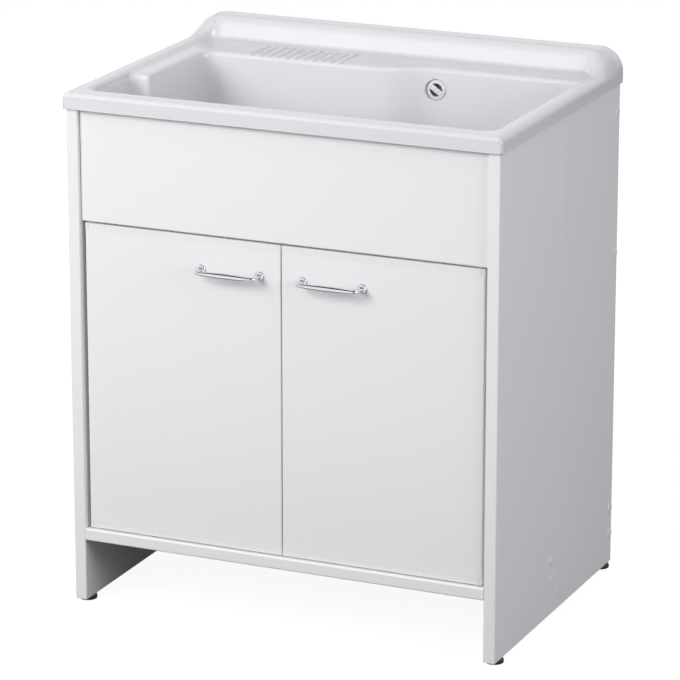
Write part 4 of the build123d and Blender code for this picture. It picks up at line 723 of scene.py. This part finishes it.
def floor_material():
    """Matt floor that glows for the camera, and in mirrors only well in front of the object."""
    m = bpy.data.materials.new("studio_floor")
    m.use_nodes = True
    nt = m.node_tree
    nt.nodes.clear()
    out = nt.nodes.new("ShaderNodeOutputMaterial")
    matte = nt.nodes.new("ShaderNodeBsdfDiffuse")
    matte.inputs["Color"].default_value = (0.12, 0.12, 0.122, 1)
    glow = nt.nodes.new("ShaderNodeEmission")
    glow.inputs["Color"].default_value = (1, 1, 1, 1)
    path = nt.nodes.new("ShaderNodeLightPath")
    coord = nt.nodes.new("ShaderNodeTexCoord")
    split = nt.nodes.new("ShaderNodeSeparateXYZ")
    nt.links.new(coord.outputs["Object"], split.inputs["Vector"])
    ahead = ranged(nt, split.outputs["Y"], FLOOR_GLOW, 0.05, -1.3, -0.6)
    mirrored = math_node(nt, "MULTIPLY", ahead, path.outputs["Is Glossy Ray"])
    strength = math_node(nt, "MULTIPLY_ADD", path.outputs["Is Camera Ray"], FLOOR_GLOW, mirrored)
    nt.links.new(strength, glow.inputs["Strength"])
    both = nt.nodes.new("ShaderNodeAddShader")
    nt.links.new(matte.outputs[0], both.inputs[0])
    nt.links.new(glow.outputs[0], both.inputs[1])
    nt.links.new(both.outputs[0], out.inputs["Surface"])
    return m


def floor_piece():
    bm = bmesh.new()
    rings = [[bm.verts.new((0, 0, FLOOR_Z))]]
    for r in FLOOR_RINGS:
        angles = [2 * math.pi * s / FLOOR_SIDES for s in range(FLOOR_SIDES)]
        rings.append([bm.verts.new((r * math.cos(a), r * math.sin(a), FLOOR_Z)) for a in angles])
    join_rings(bm, rings)
    ob = bm_object("studio_floor", bm, smooth_faces=False)
    for p in ob.data.polygons:
        if p.normal.z < 0:
            p.flip()
    ob.data.materials.append(floor_material())


floor_piece()


def background(nt, color, strength):
    """Background node; the colour is a socket or three numbers."""
    n = nt.nodes.new("ShaderNodeBackground")
    n.inputs["Strength"].default_value = strength
    if isinstance(color, tuple):
        n.inputs["Color"].default_value = (*color, 1)
    else:
        nt.links.new(color, n.inputs["Color"])
    return n.outputs[0]


def shader_mix(nt, fac, a, b):
    n = nt.nodes.new("ShaderNodeMixShader")
    nt.links.new(fac, n.inputs["Fac"])
    nt.links.new(a, n.inputs[1])
    nt.links.new(b, n.inputs[2])
    return n.outputs[0]


def make_world():
    """White to the camera, an even soft sky as light, and bright with a dark top and right in mirrors."""
    w = bpy.data.worlds.new("studio")
    bpy.context.scene.world = w
    w.use_nodes = True
    nt = w.node_tree
    nt.nodes.clear()
    out = nt.nodes.new("ShaderNodeOutputWorld")
    coord = nt.nodes.new("ShaderNodeTexCoord")
    split = nt.nodes.new("ShaderNodeSeparateXYZ")
    nt.links.new(coord.outputs["Generated"], split.inputs["Vector"])
    low = ranged(nt, split.outputs["Z"], 1.0, 0.0, 0.62, 0.76)
    left = ranged(nt, split.outputs["X"], 1.0, 0.0, 0.25, 0.5)
    both = math_node(nt, "MULTIPLY", low, left)
    mirror = background(nt, mixed(nt, both, MIRROR_DARK, MIRROR_BRIGHT), 1.0)
    height = ranged(nt, split.outputs["Z"], 0.0, 1.0, -0.1, 0.9)
    light = background(nt, mixed(nt, height, SKY_LOW, SKY_HIGH), SKY_STRENGTH)
    white = background(nt, (1, 1, 1), 1.0)
    path = nt.nodes.new("ShaderNodeLightPath")
    unseen = shader_mix(nt, path.outputs["Is Glossy Ray"], light, mirror)
    seen = math_node(nt, "MAXIMUM", path.outputs["Is Camera Ray"], path.outputs["Is Transmission Ray"])
    nt.links.new(shader_mix(nt, seen, unseen, white), out.inputs["Surface"])


make_world()


def area(name, where, target, size, power, color, mirrored):
    """Soft rectangular light; one that isn't mirrored is left out of glossy reflections."""
    data = bpy.data.lights.new(name, "AREA")
    data.shape = "RECTANGLE"
    data.size, data.size_y = size
    data.energy = power
    data.color = color
    ob = link_object(name, data)
    ob.location = where
    ob.rotation_euler = (Vector(target) - Vector(where)).to_track_quat("-Z", "Y").to_euler()
    ob.visible_glossy = mirrored


area("key", (-1.3, -2.6, 2.0), (0.0, 0.0, 0.6), (1.6, 1.4), 74.0, (1.0, 0.99, 0.98), False)
area("fill", (2.6, -0.9, 1.35), (0.35, 0.0, 0.6), (1.2, 1.0), 27.0, (0.97, 0.98, 1.0), True)
area("rear", (-0.6, 3.6, 1.3), (0.0, 0.2, 0.5), (1.6, 1.2), 34.0, (0.98, 0.99, 1.0), False)

camera_data = bpy.data.cameras.new("view")
camera_data.sensor_width = SENSOR
camera_data.lens = SENSOR * FOCAL_PX / PICTURE_PX
camera_data.clip_end = 100.0
camera = link_object("view", camera_data)
camera.location = CAMERA_PLACE
camera.rotation_euler = (math.radians(90.0 - CAMERA_DOWN), 0.0, math.radians(CAMERA_TURN))
bpy.context.scene.camera = camera
bpy.context.scene.view_settings.view_transform = "Standard"
